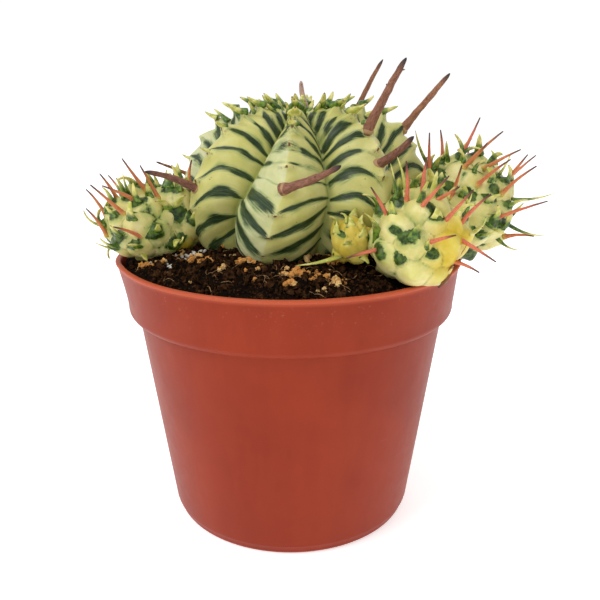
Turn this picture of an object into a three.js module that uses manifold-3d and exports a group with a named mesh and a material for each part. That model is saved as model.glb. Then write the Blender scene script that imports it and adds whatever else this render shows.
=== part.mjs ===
// A variegated, eight-ribbed euphorbia with five offsets, growing in a round plastic nursery pot.
// Millimetres, +Z up, the origin on the pot's axis in the plane it stands on, the plant's front towards -Y.
// Azimuths are in degrees from -Y towards +X, and elevations in degrees above the horizontal.
import * as THREE from "three";
import { mergeVertices } from "three/addons/utils/BufferGeometryUtils.js";
import Module from "manifold-3d";

const wasm = await Module();
wasm.setup();

// Pot
const RIM_RADIUS = 52.5;
const POT_HEIGHT = 83.5;
const BASE_RADIUS = 38.4;
const COLLAR_HEIGHT = 17;
const COLLAR_TAPER = 2.5;
const SHOULDER_STEP = 2.4;
const LIP_HEIGHT = 1.1;
const LIP_PROUD = 0.5;
const WALL = 1.2;
const FLOOR = 1.6;
const FOOT_HEIGHT = 2.8;
const DRAIN_HOLE_RADIUS = 2.2;
const DRAIN_HOLES = 8;
const POT_SIDES = 56;

// Soil
const SOIL_BELOW_RIM = 1.6;
const SOIL_MOUND = 5;
const SOIL_SIDES = 44;

// Main stem
const STEM_RADIUS = 36.5;
const STEM_HEIGHT = 40;
const STEM_FOOT = [2, 4];
const STEM_LEAN = [3, 5];
const CROWN_DRIFT = 2.5;
const GROOVE_DEPTH = 10;
const TUBERCLE_PITCH = 6.4;
const TUBERCLE_TOOTH = 1.7;
const RIB_REACH = [1, 1, 1.06, 1.06, 1.05, 1.05, 1.07, 1];

// Azimuth of each rib's crest, and of the groove that follows it, at these shares of the way
// from the root to the crown.
const TURN_AT = [0.2, 0.3, 0.45, 0.75, 1];
const CREST_AZIMUTHS = [
  [-19, -14, -8, -9, -9],
  [36, 37, 38, 39, 40],
  [81, 84, 86, 86, 86],
  [124, 128, 131, 131, 131],
  [169, 173, 176, 176, 176],
  [211, 215, 218, 218, 218],
  [247, 251, 256, 259, 260],
  [293, 297, 302, 303, 303],
];
const GROOVE_AZIMUTHS = [
  [16, 15.5, 15.5, 10, 5],
  [59, 61, 62, 62, 62],
  [103, 106, 108, 108, 108],
  [147, 151, 153, 153, 153],
  [190, 194, 197, 197, 197],
  [232, 236, 239, 239, 239],
  [266, 271, 276, 280, 281],
  [309, 314.5, 324, 335, 338],
];

// How widely each rib spaces its tubercles, and where on its crest one of them stands.
const RIB_SPACING = [1, 1.24, 1.2, 1.15, 1.2, 1.15, 1.2, 1.28];
const RIB_BEARING = [0.455, 0.665, 0.645, 0.74, 0.84, 0.6, 0.5, 0.462];

// Offsets
const OFFSET_RADIUS = 13.2;
const TUBERCLE_HEIGHT = 2.2;

// Spines and leaves
const SPINE_RADIUS = 0.75;
const PEDUNCLE_RADIUS = 1.25;
const LEAF_THICKNESS = 0.35;
const ROOTED = 1.6;

// Room left between neighbouring pieces
const GAP = 0.4;

const soilLevel = POT_HEIGHT - SOIL_BELOW_RIM + SOIL_MOUND;

const MATERIALS = {
  pot: { color: 0xa2452c, roughness: 0.45, metalness: 0 },
  soil: { color: 0x2b1e17, roughness: 0.95, metalness: 0 },
  grain: { color: 0xc09050, roughness: 0.9, metalness: 0 },
  stem: { color: 0xc5cb8e, roughness: 0.45, metalness: 0 },
  offset: { color: 0xccd08a, roughness: 0.45, metalness: 0 },
  peduncle: { color: 0x7a4334, roughness: 0.75, metalness: 0 },
  spine: { color: 0xc4643a, roughness: 0.6, metalness: 0 },
  leaf: { color: 0x8fa04c, roughness: 0.5, metalness: 0 },
};

const part = new THREE.Group();

function place(name, geometry, look) {
  const mesh = new THREE.Mesh(geometry, new THREE.MeshStandardMaterial(MATERIALS[look]));
  mesh.name = name;
  part.add(mesh);
  return mesh;
}

// Solids

function welded(geometry) {
  const bare = new THREE.BufferGeometry();
  bare.setAttribute("position", geometry.getAttribute("position").clone());
  bare.setIndex(geometry.index);
  return mergeVertices(bare, 1e-3);
}

function solid(geometry) {
  const shell = welded(geometry);
  const vertProperties = new Float32Array(shell.getAttribute("position").array);
  const triVerts = new Uint32Array(shell.index.array);
  return new wasm.Manifold(new wasm.Mesh({ numProp: 3, vertProperties, triVerts }));
}

function geometryOf(body) {
  const mesh = body.getMesh();
  const geometry = new THREE.BufferGeometry();
  geometry.setAttribute("position", new THREE.BufferAttribute(mesh.vertProperties, 3));
  geometry.setIndex(new THREE.BufferAttribute(mesh.triVerts, 1));
  return geometry;
}

// The piece that is left after a cut, without the slivers beyond the cutter.
function largest(body) {
  return body.decompose().sort((a, b) => b.volume() - a.volume())[0];
}

// The same skin moved outwards by a clearance.
function grown(geometry, clearance) {
  const shell = welded(geometry);
  shell.computeVertexNormals();
  const at = shell.getAttribute("position");
  const normal = shell.getAttribute("normal");
  for (let i = 0; i < at.count; i += 1) {
    at.setXYZ(
      i,
      at.getX(i) + normal.getX(i) * clearance,
      at.getY(i) + normal.getY(i) * clearance,
      at.getZ(i) + normal.getZ(i) * clearance,
    );
  }
  return shell;
}

function turned(profile, sides) {
  const points = profile.map(([r, z]) => new THREE.Vector2(r, z));
  return new THREE.LatheGeometry(points, sides).rotateX(Math.PI / 2);
}

function direction(azimuth, elevation) {
  const a = THREE.MathUtils.degToRad(azimuth);
  const e = THREE.MathUtils.degToRad(elevation);
  return new THREE.Vector3(
    Math.sin(a) * Math.cos(e),
    -Math.cos(a) * Math.cos(e),
    Math.sin(e),
  );
}

// Pot: a tapering wall on a small foot, a wider collar above a shoulder, and a beaded lip.

const collarBottom = POT_HEIGHT - COLLAR_HEIGHT;
const collarTopRadius = RIM_RADIUS - LIP_PROUD;
const collarBottomRadius = RIM_RADIUS - COLLAR_TAPER;
const wallTopRadius = collarBottomRadius - SHOULDER_STEP;
const footRadius = BASE_RADIUS + 0.5;
const innerBaseRadius = BASE_RADIUS - WALL + 0.3;
const innerWallTopRadius = wallTopRadius - WALL;
const innerCollarBottomRadius = collarBottomRadius - WALL;
const innerRimRadius = collarTopRadius - WALL;
const shoulderTop = collarBottom + WALL;

const potProfile = [
  [0, 0],
  [BASE_RADIUS - 0.5, 0],
  [BASE_RADIUS, 0.5],
  [footRadius, FOOT_HEIGHT],
  [footRadius + 0.4, FOOT_HEIGHT + 0.3],
  [wallTopRadius, collarBottom],
  [collarBottomRadius - 2, collarBottom],
  [collarBottomRadius - 0.6, collarBottom + 0.6],
  [collarBottomRadius + 0.2, collarBottom + 2.2],
  [collarTopRadius, POT_HEIGHT - LIP_HEIGHT],
  [RIM_RADIUS, POT_HEIGHT - LIP_HEIGHT * 0.8],
  [RIM_RADIUS, POT_HEIGHT - 0.3],
  [RIM_RADIUS - 0.4, POT_HEIGHT],
  [innerRimRadius, POT_HEIGHT],
  [innerCollarBottomRadius, shoulderTop],
  [innerWallTopRadius, shoulderTop],
  [innerBaseRadius, FLOOR],
  [0, FLOOR],
];

function drainHole(azimuth) {
  const hole = new THREE.CylinderGeometry(DRAIN_HOLE_RADIUS, DRAIN_HOLE_RADIUS, 3 * FLOOR, 10);
  hole.rotateX(Math.PI / 2);
  const at = direction(azimuth, 0).multiplyScalar(BASE_RADIUS - 7);
  return solid(hole.translate(at.x, at.y, 0));
}

let potBody = solid(turned(potProfile, POT_SIDES));
for (let i = 0; i < DRAIN_HOLES; i += 1) {
  potBody = potBody.subtract(drainHole((360 / DRAIN_HOLES) * (i + 0.5)));
}
place("pot", geometryOf(potBody), "pot");

// The band round the rim that nothing of the plant may enter.
const rimKeepOut = solid(
  turned(
    [
      [innerCollarBottomRadius - GAP, collarBottom - GAP],
      [RIM_RADIUS + GAP, collarBottom - GAP],
      [RIM_RADIUS + GAP, POT_HEIGHT + GAP],
      [innerRimRadius - GAP, POT_HEIGHT + GAP],
      [innerCollarBottomRadius - GAP, collarBottom - GAP],
    ],
    POT_SIDES,
  ),
);

// Main stem: ribs whose crests carry a row of tubercles, with V-shaped grooves between them.

// Crest of a rib: radius as a share of STEM_RADIUS, height above the soil as a share of STEM_HEIGHT.
const crest = new THREE.SplineCurve(
  [
    [0.52, -0.28],
    [0.72, -0.12],
    [0.85, 0],
    [0.95, 0.17],
    [1, 0.38],
    [0.95, 0.57],
    [0.86, 0.72],
    [0.75, 0.84],
    [0.57, 0.93],
    [0.38, 0.98],
    [0.2, 1],
    [0, 0.975],
  ].map(([r, h]) => new THREE.Vector2(r * STEM_RADIUS, h * STEM_HEIGHT)),
);
const crestLength = crest.getLength();
const STEM_ROWS = Math.round(crestLength / (TUBERCLE_PITCH / 4));
const RIB_COLUMNS = 6;
const RIBS = CREST_AZIMUTHS.length;

// How deep the grooves are along the crest, as a share of GROOVE_DEPTH.
function grooveShare(t) {
  return Math.min(1, 0.45 + 2.4 * t) * Math.min(1, 2.6 * (1 - t));
}

// The value of a row of numbers given at the shares in at, between which it runs straight.
function along(at, values, t) {
  const last = at.length - 1;
  if (t <= at[0]) {
    return values[0];
  }
  if (t >= at[last]) {
    return values[last];
  }
  const next = at.findIndex((share) => share >= t);
  return THREE.MathUtils.mapLinear(t, at[next - 1], at[next], values[next - 1], values[next]);
}

// Tubercles counted along a rib from the one at its bearing; they crowd together near the crown.
function tubercleCount(rib, t) {
  const crowded = (share) => share + 0.55 * Math.max(0, share - 0.5) ** 2;
  const pitch = TUBERCLE_PITCH * RIB_SPACING[rib];
  return (crestLength / pitch) * (crowded(t) - crowded(RIB_BEARING[rib]));
}

// How far the crest stands out: steep below each tubercle's point, long and level above it.
function toothHeight(rib, t) {
  const count = tubercleCount(rib, t);
  const phase = count - Math.floor(count);
  const above = Math.max(0, 1 - phase / 0.74) ** 1.35;
  const below = Math.max(0, (phase - 0.7) / 0.3) ** 1.9;
  const reach = along([0.2, 0.4, 0.55, 0.66, 0.8, 0.92], [0.3, 0.6, 1, 2, 2.2, 1.5], t);
  const fade = THREE.MathUtils.smoothstep(t, 0.16, 0.3) * (1 - THREE.MathUtils.smoothstep(t, 0.9, 1));
  return TUBERCLE_TOOTH * reach * (Math.max(above, below) - 0.12) * fade;
}

function stemAxis(height) {
  const share = height / STEM_HEIGHT;
  return [STEM_FOOT[0] + STEM_LEAN[0] * share, STEM_FOOT[1] + STEM_LEAN[1] * share];
}

// A point of the stem: t runs along the crest from the root to the crown, across runs from
// the rib's crest (0) to the groove on either side (-1 or 1).
function stemPoint(rib, across, t, tooth = 0) {
  const before = (rib + RIBS - 1) % RIBS;
  const neighbour = across < 0 ? before : (rib + 1) % RIBS;
  const here = along(TURN_AT, CREST_AZIMUTHS[rib], t);
  const groove = along(TURN_AT, GROOVE_AZIMUTHS[across < 0 ? before : rib], t);
  const half = ((groove - here + 540) % 360) - 180;
  const spot = crest.getPointAt(t);
  const tangent = crest.getTangentAt(t);
  const share = Math.abs(across);
  const full = 0.9 * Math.sin(Math.PI * share ** 0.8);
  const sunk = grooveShare(t) * (GROOVE_DEPTH * (0.66 * share + 0.34 * share ** 3) - full);
  const reach = THREE.MathUtils.lerp(RIB_REACH[rib], RIB_REACH[neighbour], share / 2);
  const radius = Math.max(0, spot.x * reach - tangent.y * (sunk - tooth));
  const height = spot.y + tangent.x * (sunk - tooth) * (tangent.y < 0.2 ? 0.8 : 1);
  const at = direction(here + share * half, 0).multiplyScalar(radius);
  const [x, y] = stemAxis(spot.y);
  const drift = -CROWN_DRIFT * THREE.MathUtils.smoothstep(t, 0.7, 1);
  return new THREE.Vector3(at.x + x + drift, at.y + y, soilLevel + height);
}

function stemGeometry() {
  const positions = [];
  const faces = [];
  const around = RIBS * RIB_COLUMNS;
  for (let row = 0; row < STEM_ROWS; row += 1) {
    const t = row / STEM_ROWS;
    for (let column = 0; column < around; column += 1) {
      const rib = Math.floor(column / RIB_COLUMNS);
      const step = (column % RIB_COLUMNS) - RIB_COLUMNS / 2 + 1;
      const across = step / (RIB_COLUMNS / 2);
      const tooth = step === 0 ? toothHeight(rib, t) : 0;
      positions.push(...stemPoint(rib, across, t, tooth).toArray());
      if (row + 1 < STEM_ROWS) {
        const a = row * around + column;
        const b = row * around + ((column + 1) % around);
        faces.push(a, b, b + around, a, b + around, a + around);
      }
    }
  }
  const root = positions.length / 3;
  const [x0, y0] = stemAxis(-0.28 * STEM_HEIGHT);
  const [x1, y1] = stemAxis(STEM_HEIGHT);
  positions.push(x0, y0, soilLevel - 0.28 * STEM_HEIGHT);
  positions.push(x1 - CROWN_DRIFT, y1, soilLevel + 0.94 * STEM_HEIGHT);
  const top = (STEM_ROWS - 1) * around;
  for (let column = 0; column < around; column += 1) {
    const next = (column + 1) % around;
    faces.push(root, next, column);
    faces.push(root + 1, top + column, top + next);
  }
  const geometry = new THREE.BufferGeometry();
  geometry.setAttribute("position", new THREE.Float32BufferAttribute(positions, 3));
  geometry.setIndex(faces);
  return geometry;
}

const stemShell = stemGeometry();
place("main_stem", welded(stemShell), "stem");

// Offsets: globes of spiralling tubercles round the foot of the main stem. Each grows clear of
// the rim and of those before it.

const GOLDEN_ANGLE = 137.5;

function globe(centre, radius, squash, tubercles, phase, detail) {
  const tips = [];
  for (let i = 0; i < tubercles; i += 1) {
    const rise = 1 - (2 * (i + 0.5)) / tubercles;
    tips.push(direction(phase + i * GOLDEN_ANGLE, THREE.MathUtils.radToDeg(Math.asin(rise))));
  }
  const reach = Math.sqrt(4 / tubercles) * 1.15;
  const geometry = welded(new THREE.IcosahedronGeometry(1, detail));
  const at = geometry.getAttribute("position");
  const spot = new THREE.Vector3();
  for (let i = 0; i < at.count; i += 1) {
    spot.fromBufferAttribute(at, i).normalize();
    const nearest = Math.min(...tips.map((tip) => tip.angleTo(spot)));
    const swell = TUBERCLE_HEIGHT * (1 - Math.min(1, nearest / reach) ** 2);
    spot.multiplyScalar(radius - TUBERCLE_HEIGHT * 0.7 + swell);
    at.setXYZ(i, spot.x + centre[0], spot.y + centre[1], spot.z * squash + centre[2]);
  }
  return geometry;
}

// Each offset stands off from the stem's foot in its own direction; lift is its centre above the soil.
function offsetCentre({ azimuth, stand, lift }) {
  const at = direction(azimuth, 0).multiplyScalar(STEM_RADIUS + stand);
  return [STEM_FOOT[0] + at.x, STEM_FOOT[1] + at.y, soilLevel + lift];
}

const OFFSETS = [
  {
    name: "front_right_pup",
    azimuth: 41,
    stand: 12,
    lift: 7.6,
    size: 1,
    squash: 1,
    tubercles: 22,
    phase: 20,
    detail: 4,
  },
  {
    name: "rear_right_pup",
    azimuth: 80,
    stand: 14,
    lift: 11.6,
    size: 1.2,
    squash: 1,
    tubercles: 28,
    phase: 60,
    detail: 5,
  },
  {
    name: "left_pup",
    azimuth: -78,
    stand: 10,
    lift: 6.4,
    size: 0.94,
    squash: 0.97,
    tubercles: 20,
    phase: 100,
    detail: 4,
  },
  {
    name: "left_inner_pup",
    azimuth: -79,
    stand: 0,
    lift: 8,
    size: 0.74,
    squash: 1.2,
    tubercles: 14,
    phase: 0,
    detail: 3,
  },
  {
    name: "small_pup",
    azimuth: 24,
    stand: -1,
    lift: 6,
    size: 0.5,
    squash: 1.05,
    tubercles: 12,
    phase: 45,
    detail: 3,
  },
];

const centres = {};
const radii = {};
const plants = { main_stem: solid(stemShell) };
const keepOuts = { main_stem: solid(grown(stemShell, GAP)) };

for (const offset of OFFSETS) {
  const centre = offsetCentre(offset);
  const radius = OFFSET_RADIUS * offset.size;
  const shape = (extra) =>
    globe(centre, radius + extra, offset.squash, offset.tubercles, offset.phase, offset.detail);
  let body = solid(shape(0)).subtract(rimKeepOut);
  for (const other of Object.values(keepOuts)) {
    body = body.subtract(other);
  }
  body = largest(body);
  place(offset.name, geometryOf(body), "offset");
  centres[offset.name] = new THREE.Vector3(...centre);
  radii[offset.name] = radius;
  plants[offset.name] = body;
  keepOuts[offset.name] = solid(shape(GAP));
}

// Spines, the woody stalks of old flowers, and leaves: tapering, slightly bowed rods.

const SPINE_PROFILE = [
  [0, 0],
  [1, 0],
  [0.92, 0.35],
  [0.66, 0.72],
  [0.3, 0.95],
  [0, 1],
];
const LEAF_PROFILE = [
  [0, 0],
  [0.7, 0],
  [1, 0.3],
  [0.62, 0.65],
  [0.22, 0.92],
  [0, 1],
];

function rod(root, heading, length, radius, bow, profile, sides, flatten) {
  const side = new THREE.Vector3().crossVectors(heading, new THREE.Vector3(0, 0, 1)).normalize();
  const up = new THREE.Vector3().crossVectors(side, heading).normalize();
  const tip = root.clone().addScaledVector(heading, length);
  const middle = root.clone().addScaledVector(heading, length / 2).addScaledVector(up, bow);
  const line = new THREE.QuadraticBezierCurve3(root, middle, tip);
  const points = profile.map(([r, share]) => new THREE.Vector2(r * radius, share));
  const geometry = new THREE.LatheGeometry(points, sides);
  const at = geometry.getAttribute("position");
  for (let i = 0; i < at.count; i += 1) {
    const spot = line.getPoint(at.getY(i));
    spot.addScaledVector(side, at.getX(i));
    spot.addScaledVector(up, at.getZ(i) * flatten);
    at.setXYZ(i, spot.x, spot.y, spot.z);
  }
  return geometry;
}

function grow(name, carrier, geometry, look) {
  const body = largest(solid(geometry).subtract(keepOuts[carrier]));
  place(name, geometryOf(body), look);
}

// Stalks of old flowers on the main stem: [rib, t along the crest, azimuth, elevation, length,
// thickness as a share of PEDUNCLE_RADIUS, bow].
const PEDUNCLES = [
  [0, 0.46, 50, 22, 19.5, 1, -0.8],
  [7, 0.43, -56, 22, 16, 0.95, 1.6],
  [1, 0.665, 46, 56, 23, 1.1, -1],
  [2, 0.645, 80, 50, 21.5, 1, -1],
  [1, 0.53, 42, 35, 14, 1, -0.6],
  [3, 0.74, 86, 64, 19, 0.75, 0.8],
  [4, 0.86, -70, 82, 8, 0.7, 0],
  [6, 0.44, -60, 24, 11, 0.55, 0.3],
  [5, 0.5, -150, 12, 14, 0.9, 0.8],
];

PEDUNCLES.forEach(([rib, t, azimuth, elevation, length, thick, bow], i) => {
  const heading = direction(azimuth, elevation);
  const root = stemPoint(rib, 0, t).addScaledVector(heading, -ROOTED);
  const radius = PEDUNCLE_RADIUS * thick;
  const shape = rod(root, heading, length + ROOTED, radius, bow, SPINE_PROFILE, 6, 1);
  grow(`peduncle_${i + 1}`, "main_stem", shape, "peduncle");
});

// Where something grows on an offset, slightly inside its skin.
function offsetRoot(name, azimuth, elevation, heading) {
  const { squash } = OFFSETS.find((offset) => offset.name === name);
  const out = direction(azimuth, elevation).multiplyScalar(radii[name]);
  out.z *= squash;
  return centres[name].clone().add(out).addScaledVector(heading, -ROOTED);
}

// Spines: [azimuth and elevation on the offset, azimuth and elevation it points to, length].
const SPINES = {
  left_pup: [
    [8, 73, -43, 53, 11],
    [36, 52, -37, 60, 10.5],
    [-84, 46, -52, 58, 8],
    [-25, 26, -42, 43, 13],
    [-12, 46, -46, 28, 10.5],
    [-72, 18, -66, 57, 9],
    [-62, -8, -36, 52, 10.5],
    [-2, -4, -32, 24, 9.5],
    [-130, 35, -125, 45, 9],
  ],
  left_inner_pup: [[60, 62, 150, 80, 7]],
  front_right_pup: [
    [-54, 32, -56, 53, 10],
    [-40, 58, -16, 71, 10.5],
    [0, 72, 3, 78, 9.5],
    [-8, 46, 34, 46, 12.5],
    [27, 32, 34, 46, 11.5],
    [54, 24, 46, 48, 11],
    [4, 8, 31, 21, 9],
    [-57, -6, -62, -6, 10],
    [46, 6, 36, -17, 11.5],
    [28, 58, 42, 32, 7.5],
    [40, -18, 40, -10, 7.5],
  ],
  rear_right_pup: [
    [-66, 41, -23, 69, 12.5],
    [-95, 64, -137, 84, 8],
    [-30, 82, 83, 68, 11],
    [8, 66, 52, 45, 11.5],
    [-12, 54, 30, 42, 10.5],
    [28, 52, 46, 30, 11],
    [6, 33, 33, 36, 12.5],
    [58, 34, 50, 54, 9],
    [38, 22, 43, 41, 12],
    [26, -4, 46, 24, 15.5],
    [-25, 22, 6, 52, 10.5],
    [58, -30, 47, 8, 9],
    [105, 25, 100, 40, 12],
    [165, 30, 160, 45, 11],
  ],
};

for (const [name, spines] of Object.entries(SPINES)) {
  spines.forEach(([azimuth, elevation, towards, rise, length], i) => {
    const heading = direction(towards, rise);
    const root = offsetRoot(name, azimuth, elevation, heading);
    const shape = rod(root, heading, length + ROOTED, SPINE_RADIUS, 0.4, SPINE_PROFILE, 5, 1);
    grow(`${name}_spine_${i + 1}`, name, shape, "spine");
  });
}

// Leaves: [offset, azimuth and elevation on it, azimuth and elevation it points to, length,
// half width, bow].
const LEAVES = [
  ["rear_right_pup", -80, 48, -70, 62, 12, 1.3, -1.6],
  ["rear_right_pup", 62, 12, 62, 12, 11, 1.3, -1.5],
  ["rear_right_pup", 66, -18, 60, -12, 10, 1.3, -1.8],
  ["front_right_pup", -62, 8, -48, 50, 9, 1.4, 2],
  ["small_pup", -60, -35, -64, -4, 12, 1.2, -1],
  ["left_pup", -45, -28, -52, 22, 7, 1.2, -1.2],
];

LEAVES.forEach(([name, azimuth, elevation, towards, rise, length, width, bow], i) => {
  const heading = direction(towards, rise);
  const root = offsetRoot(name, azimuth, elevation, heading);
  const shape = rod(root, heading, length + ROOTED, width, bow, LEAF_PROFILE, 6, LEAF_THICKNESS);
  grow(`leaf_${i + 1}`, name, shape, "leaf");
});

// Soil: a plug that fills the pot and mounds up round the stem, with coarse grains on it.

const soilEdge = POT_HEIGHT - SOIL_BELOW_RIM;

function soilHeight(radius) {
  const share = Math.min(1, radius / (RIM_RADIUS - WALL));
  return soilEdge + SOIL_MOUND * (1 - share ** 2.4);
}

const soilEdgeRadius = THREE.MathUtils.mapLinear(
  soilEdge,
  shoulderTop,
  POT_HEIGHT,
  innerCollarBottomRadius,
  innerRimRadius,
) - GAP;
const soilProfile = [
  [0, FLOOR + GAP],
  [innerBaseRadius - GAP, FLOOR + GAP],
  [innerWallTopRadius - GAP, shoulderTop + GAP],
  [innerCollarBottomRadius - GAP, shoulderTop + GAP],
  [soilEdgeRadius, soilEdge],
];
for (const share of [0.9, 0.76, 0.6, 0.4, 0.2, 0]) {
  soilProfile.push([soilEdgeRadius * share, soilHeight(soilEdgeRadius * share)]);
}

let soilBody = solid(turned(soilProfile, SOIL_SIDES));
for (const other of Object.values(keepOuts)) {
  soilBody = soilBody.subtract(other);
}

// Grains: [distance from the axis as a share of the rim, azimuth, size, turn].
const GRAINS = [
  [0.72, -42, 1.9, 20],
  [0.82, 3, 2.1, 75],
];

GRAINS.forEach(([share, azimuth, size, turn], i) => {
  const at = direction(azimuth, 0).multiplyScalar(RIM_RADIUS * share);
  const centre = [at.x, at.y, soilHeight(RIM_RADIUS * share) + size * 0.3];
  const shape = (extra) => {
    const lump = new THREE.DodecahedronGeometry(size + extra);
    lump.scale(1, 0.8, 0.75);
    lump.rotateZ(THREE.MathUtils.degToRad(turn));
    return lump.translate(...centre);
  };
  place(`grain_${i + 1}`, welded(shape(0)), "grain");
  soilBody = soilBody.subtract(solid(shape(GAP)));
});

place("soil", geometryOf(largest(soilBody)), "soil");

export default part;
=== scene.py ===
"""Potted euphorbia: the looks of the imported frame, in metres, in the frame's own axes."""

import math

import bmesh
import bpy
import numpy as np
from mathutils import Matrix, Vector


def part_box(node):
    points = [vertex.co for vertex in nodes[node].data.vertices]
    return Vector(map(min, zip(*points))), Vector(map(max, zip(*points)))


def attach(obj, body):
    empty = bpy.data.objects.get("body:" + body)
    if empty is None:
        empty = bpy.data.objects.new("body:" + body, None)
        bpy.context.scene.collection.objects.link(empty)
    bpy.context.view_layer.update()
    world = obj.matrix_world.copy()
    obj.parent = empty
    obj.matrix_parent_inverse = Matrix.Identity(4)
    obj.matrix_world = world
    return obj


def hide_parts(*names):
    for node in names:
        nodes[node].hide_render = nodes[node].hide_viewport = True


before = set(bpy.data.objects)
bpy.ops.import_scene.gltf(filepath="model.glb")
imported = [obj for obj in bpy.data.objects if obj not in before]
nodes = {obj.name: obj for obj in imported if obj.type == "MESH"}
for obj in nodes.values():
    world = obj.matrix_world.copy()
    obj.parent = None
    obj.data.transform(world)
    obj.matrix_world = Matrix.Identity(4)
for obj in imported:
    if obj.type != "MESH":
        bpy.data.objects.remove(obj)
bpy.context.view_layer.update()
MM = 0.001


# ---------------------------------------------------------------- helpers


def unit(v):
    v = np.asarray(v, float)
    return v / np.maximum(np.linalg.norm(v, axis=-1, keepdims=True), 1e-12)


def heading(azimuth, elevation):
    """Unit vector: azimuth in degrees from -Y towards +X, elevation above the horizontal."""
    a, e = np.broadcast_arrays(np.radians(azimuth), np.radians(elevation))
    return np.stack([np.sin(a) * np.cos(e), -np.cos(a) * np.cos(e), np.sin(e)], -1)


def box_mm(node):
    low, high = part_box(node)
    return np.array(low) / MM, np.array(high) / MM


def smooth(x, low, high):
    s = np.clip((x - low) / (high - low), 0, 1)
    return s * s * (3 - 2 * s)


def node_points(node):
    mesh = nodes[node].data
    co = np.zeros(len(mesh.vertices) * 3)
    mesh.vertices.foreach_get("co", co)
    return co.reshape(-1, 3) / MM


def value_noise(p, scale, seed):
    """Smooth noise in -1..1 at points p (mm), from a hashed lattice."""
    q = np.asarray(p, float) / scale + seed * 17.31
    base = np.floor(q).astype(np.int64)
    f = q - base
    f = f * f * (3 - 2 * f)
    total = 0
    for corner in np.ndindex(2, 2, 2):
        c = base + np.array(corner)
        h = (c[..., 0] * 73856093) ^ (c[..., 1] * 19349663) ^ (c[..., 2] * 83492791)
        h = (h ^ (h >> 13)) * 1274126177
        h = (h ^ (h >> 16)) & 0xFFFF
        w = np.where(corner, f, 1 - f)
        total = total + w[..., 0] * w[..., 1] * w[..., 2] * (h / 32767.5 - 1)
    return total


def fractal(p, scale, seed, octaves=3):
    return sum(value_noise(p, scale / 2**i, seed + i) / 2**i for i in range(octaves))


def in_scene(name, data):
    obj = bpy.data.objects.new(name, data)
    bpy.context.scene.collection.objects.link(obj)
    return obj


def mesh_from(name, points, faces, attributes=None, shade=True):
    """A mesh object from points in mm, a face array or list, and per-point attributes."""
    mesh = bpy.data.meshes.new(name)
    points = np.asarray(points, float) * MM
    faces = [tuple(int(i) for i in f) for f in faces]
    mesh.from_pydata([tuple(p) for p in points], [], faces)
    mesh.validate()
    mesh.update()
    for key, values in (attributes or {}).items():
        values = np.asarray(values, np.float32)
        kind, field = ("FLOAT", "value") if values.ndim == 1 else ("FLOAT_VECTOR", "vector")
        mesh.attributes.new(key, kind, "POINT").data.foreach_set(field, values.ravel())
    mesh.polygons.foreach_set("use_smooth", [shade] * len(mesh.polygons))
    return in_scene(name, mesh)


def closed_faces(rows, columns, flip=False):
    """Faces of a tube of rings, its ends closed on the two points that follow the rings."""
    r = np.arange(rows - 1)[:, None] * columns
    c = np.arange(columns)[None, :]
    a, b = r + c, r + (c + 1) % columns
    quads = np.stack([a, b, b + columns, a + columns], -1).reshape(-1, 4)
    faces = [tuple(q[::-1] if flip else q) for q in quads]
    start = rows * columns
    last = start - columns
    for i in range(columns):
        j = (i + 1) % columns
        first, second = (i, j) if flip else (j, i)
        faces.append((start, first, second))
        faces.append((start + 1, last + second, last + first))
    return faces


def around(count):
    """Azimuths of evenly spaced points round a circle."""
    return np.linspace(0, 360, count, endpoint=False)


def finish_piece(obj, material, replaced=()):
    obj.data.materials.clear()
    obj.data.materials.append(material)
    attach(obj, "root")
    if replaced:
        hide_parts(*replaced)
    return obj


def joined(parts):
    """One point array, face list and attribute dict from several (points, faces, attributes)."""
    points, faces, attributes, start = [], [], {}, 0
    for p, f, a in parts:
        points.append(p)
        faces.extend([tuple(np.asarray(q) + start) for q in f])
        for key, values in a.items():
            attributes.setdefault(key, []).append(np.asarray(values, float))
        start += len(p)
    return np.concatenate(points), faces, {key: np.concatenate(v) for key, v in attributes.items()}


def make_piece(name, parts, material, replaced=()):
    """One piece joined from parts, in its material and in place of the CAD nodes it replaces."""
    return finish_piece(mesh_from(name, *joined(parts)), MAT[material], replaced)


# ---------------------------------------------------------------- materials


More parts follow.
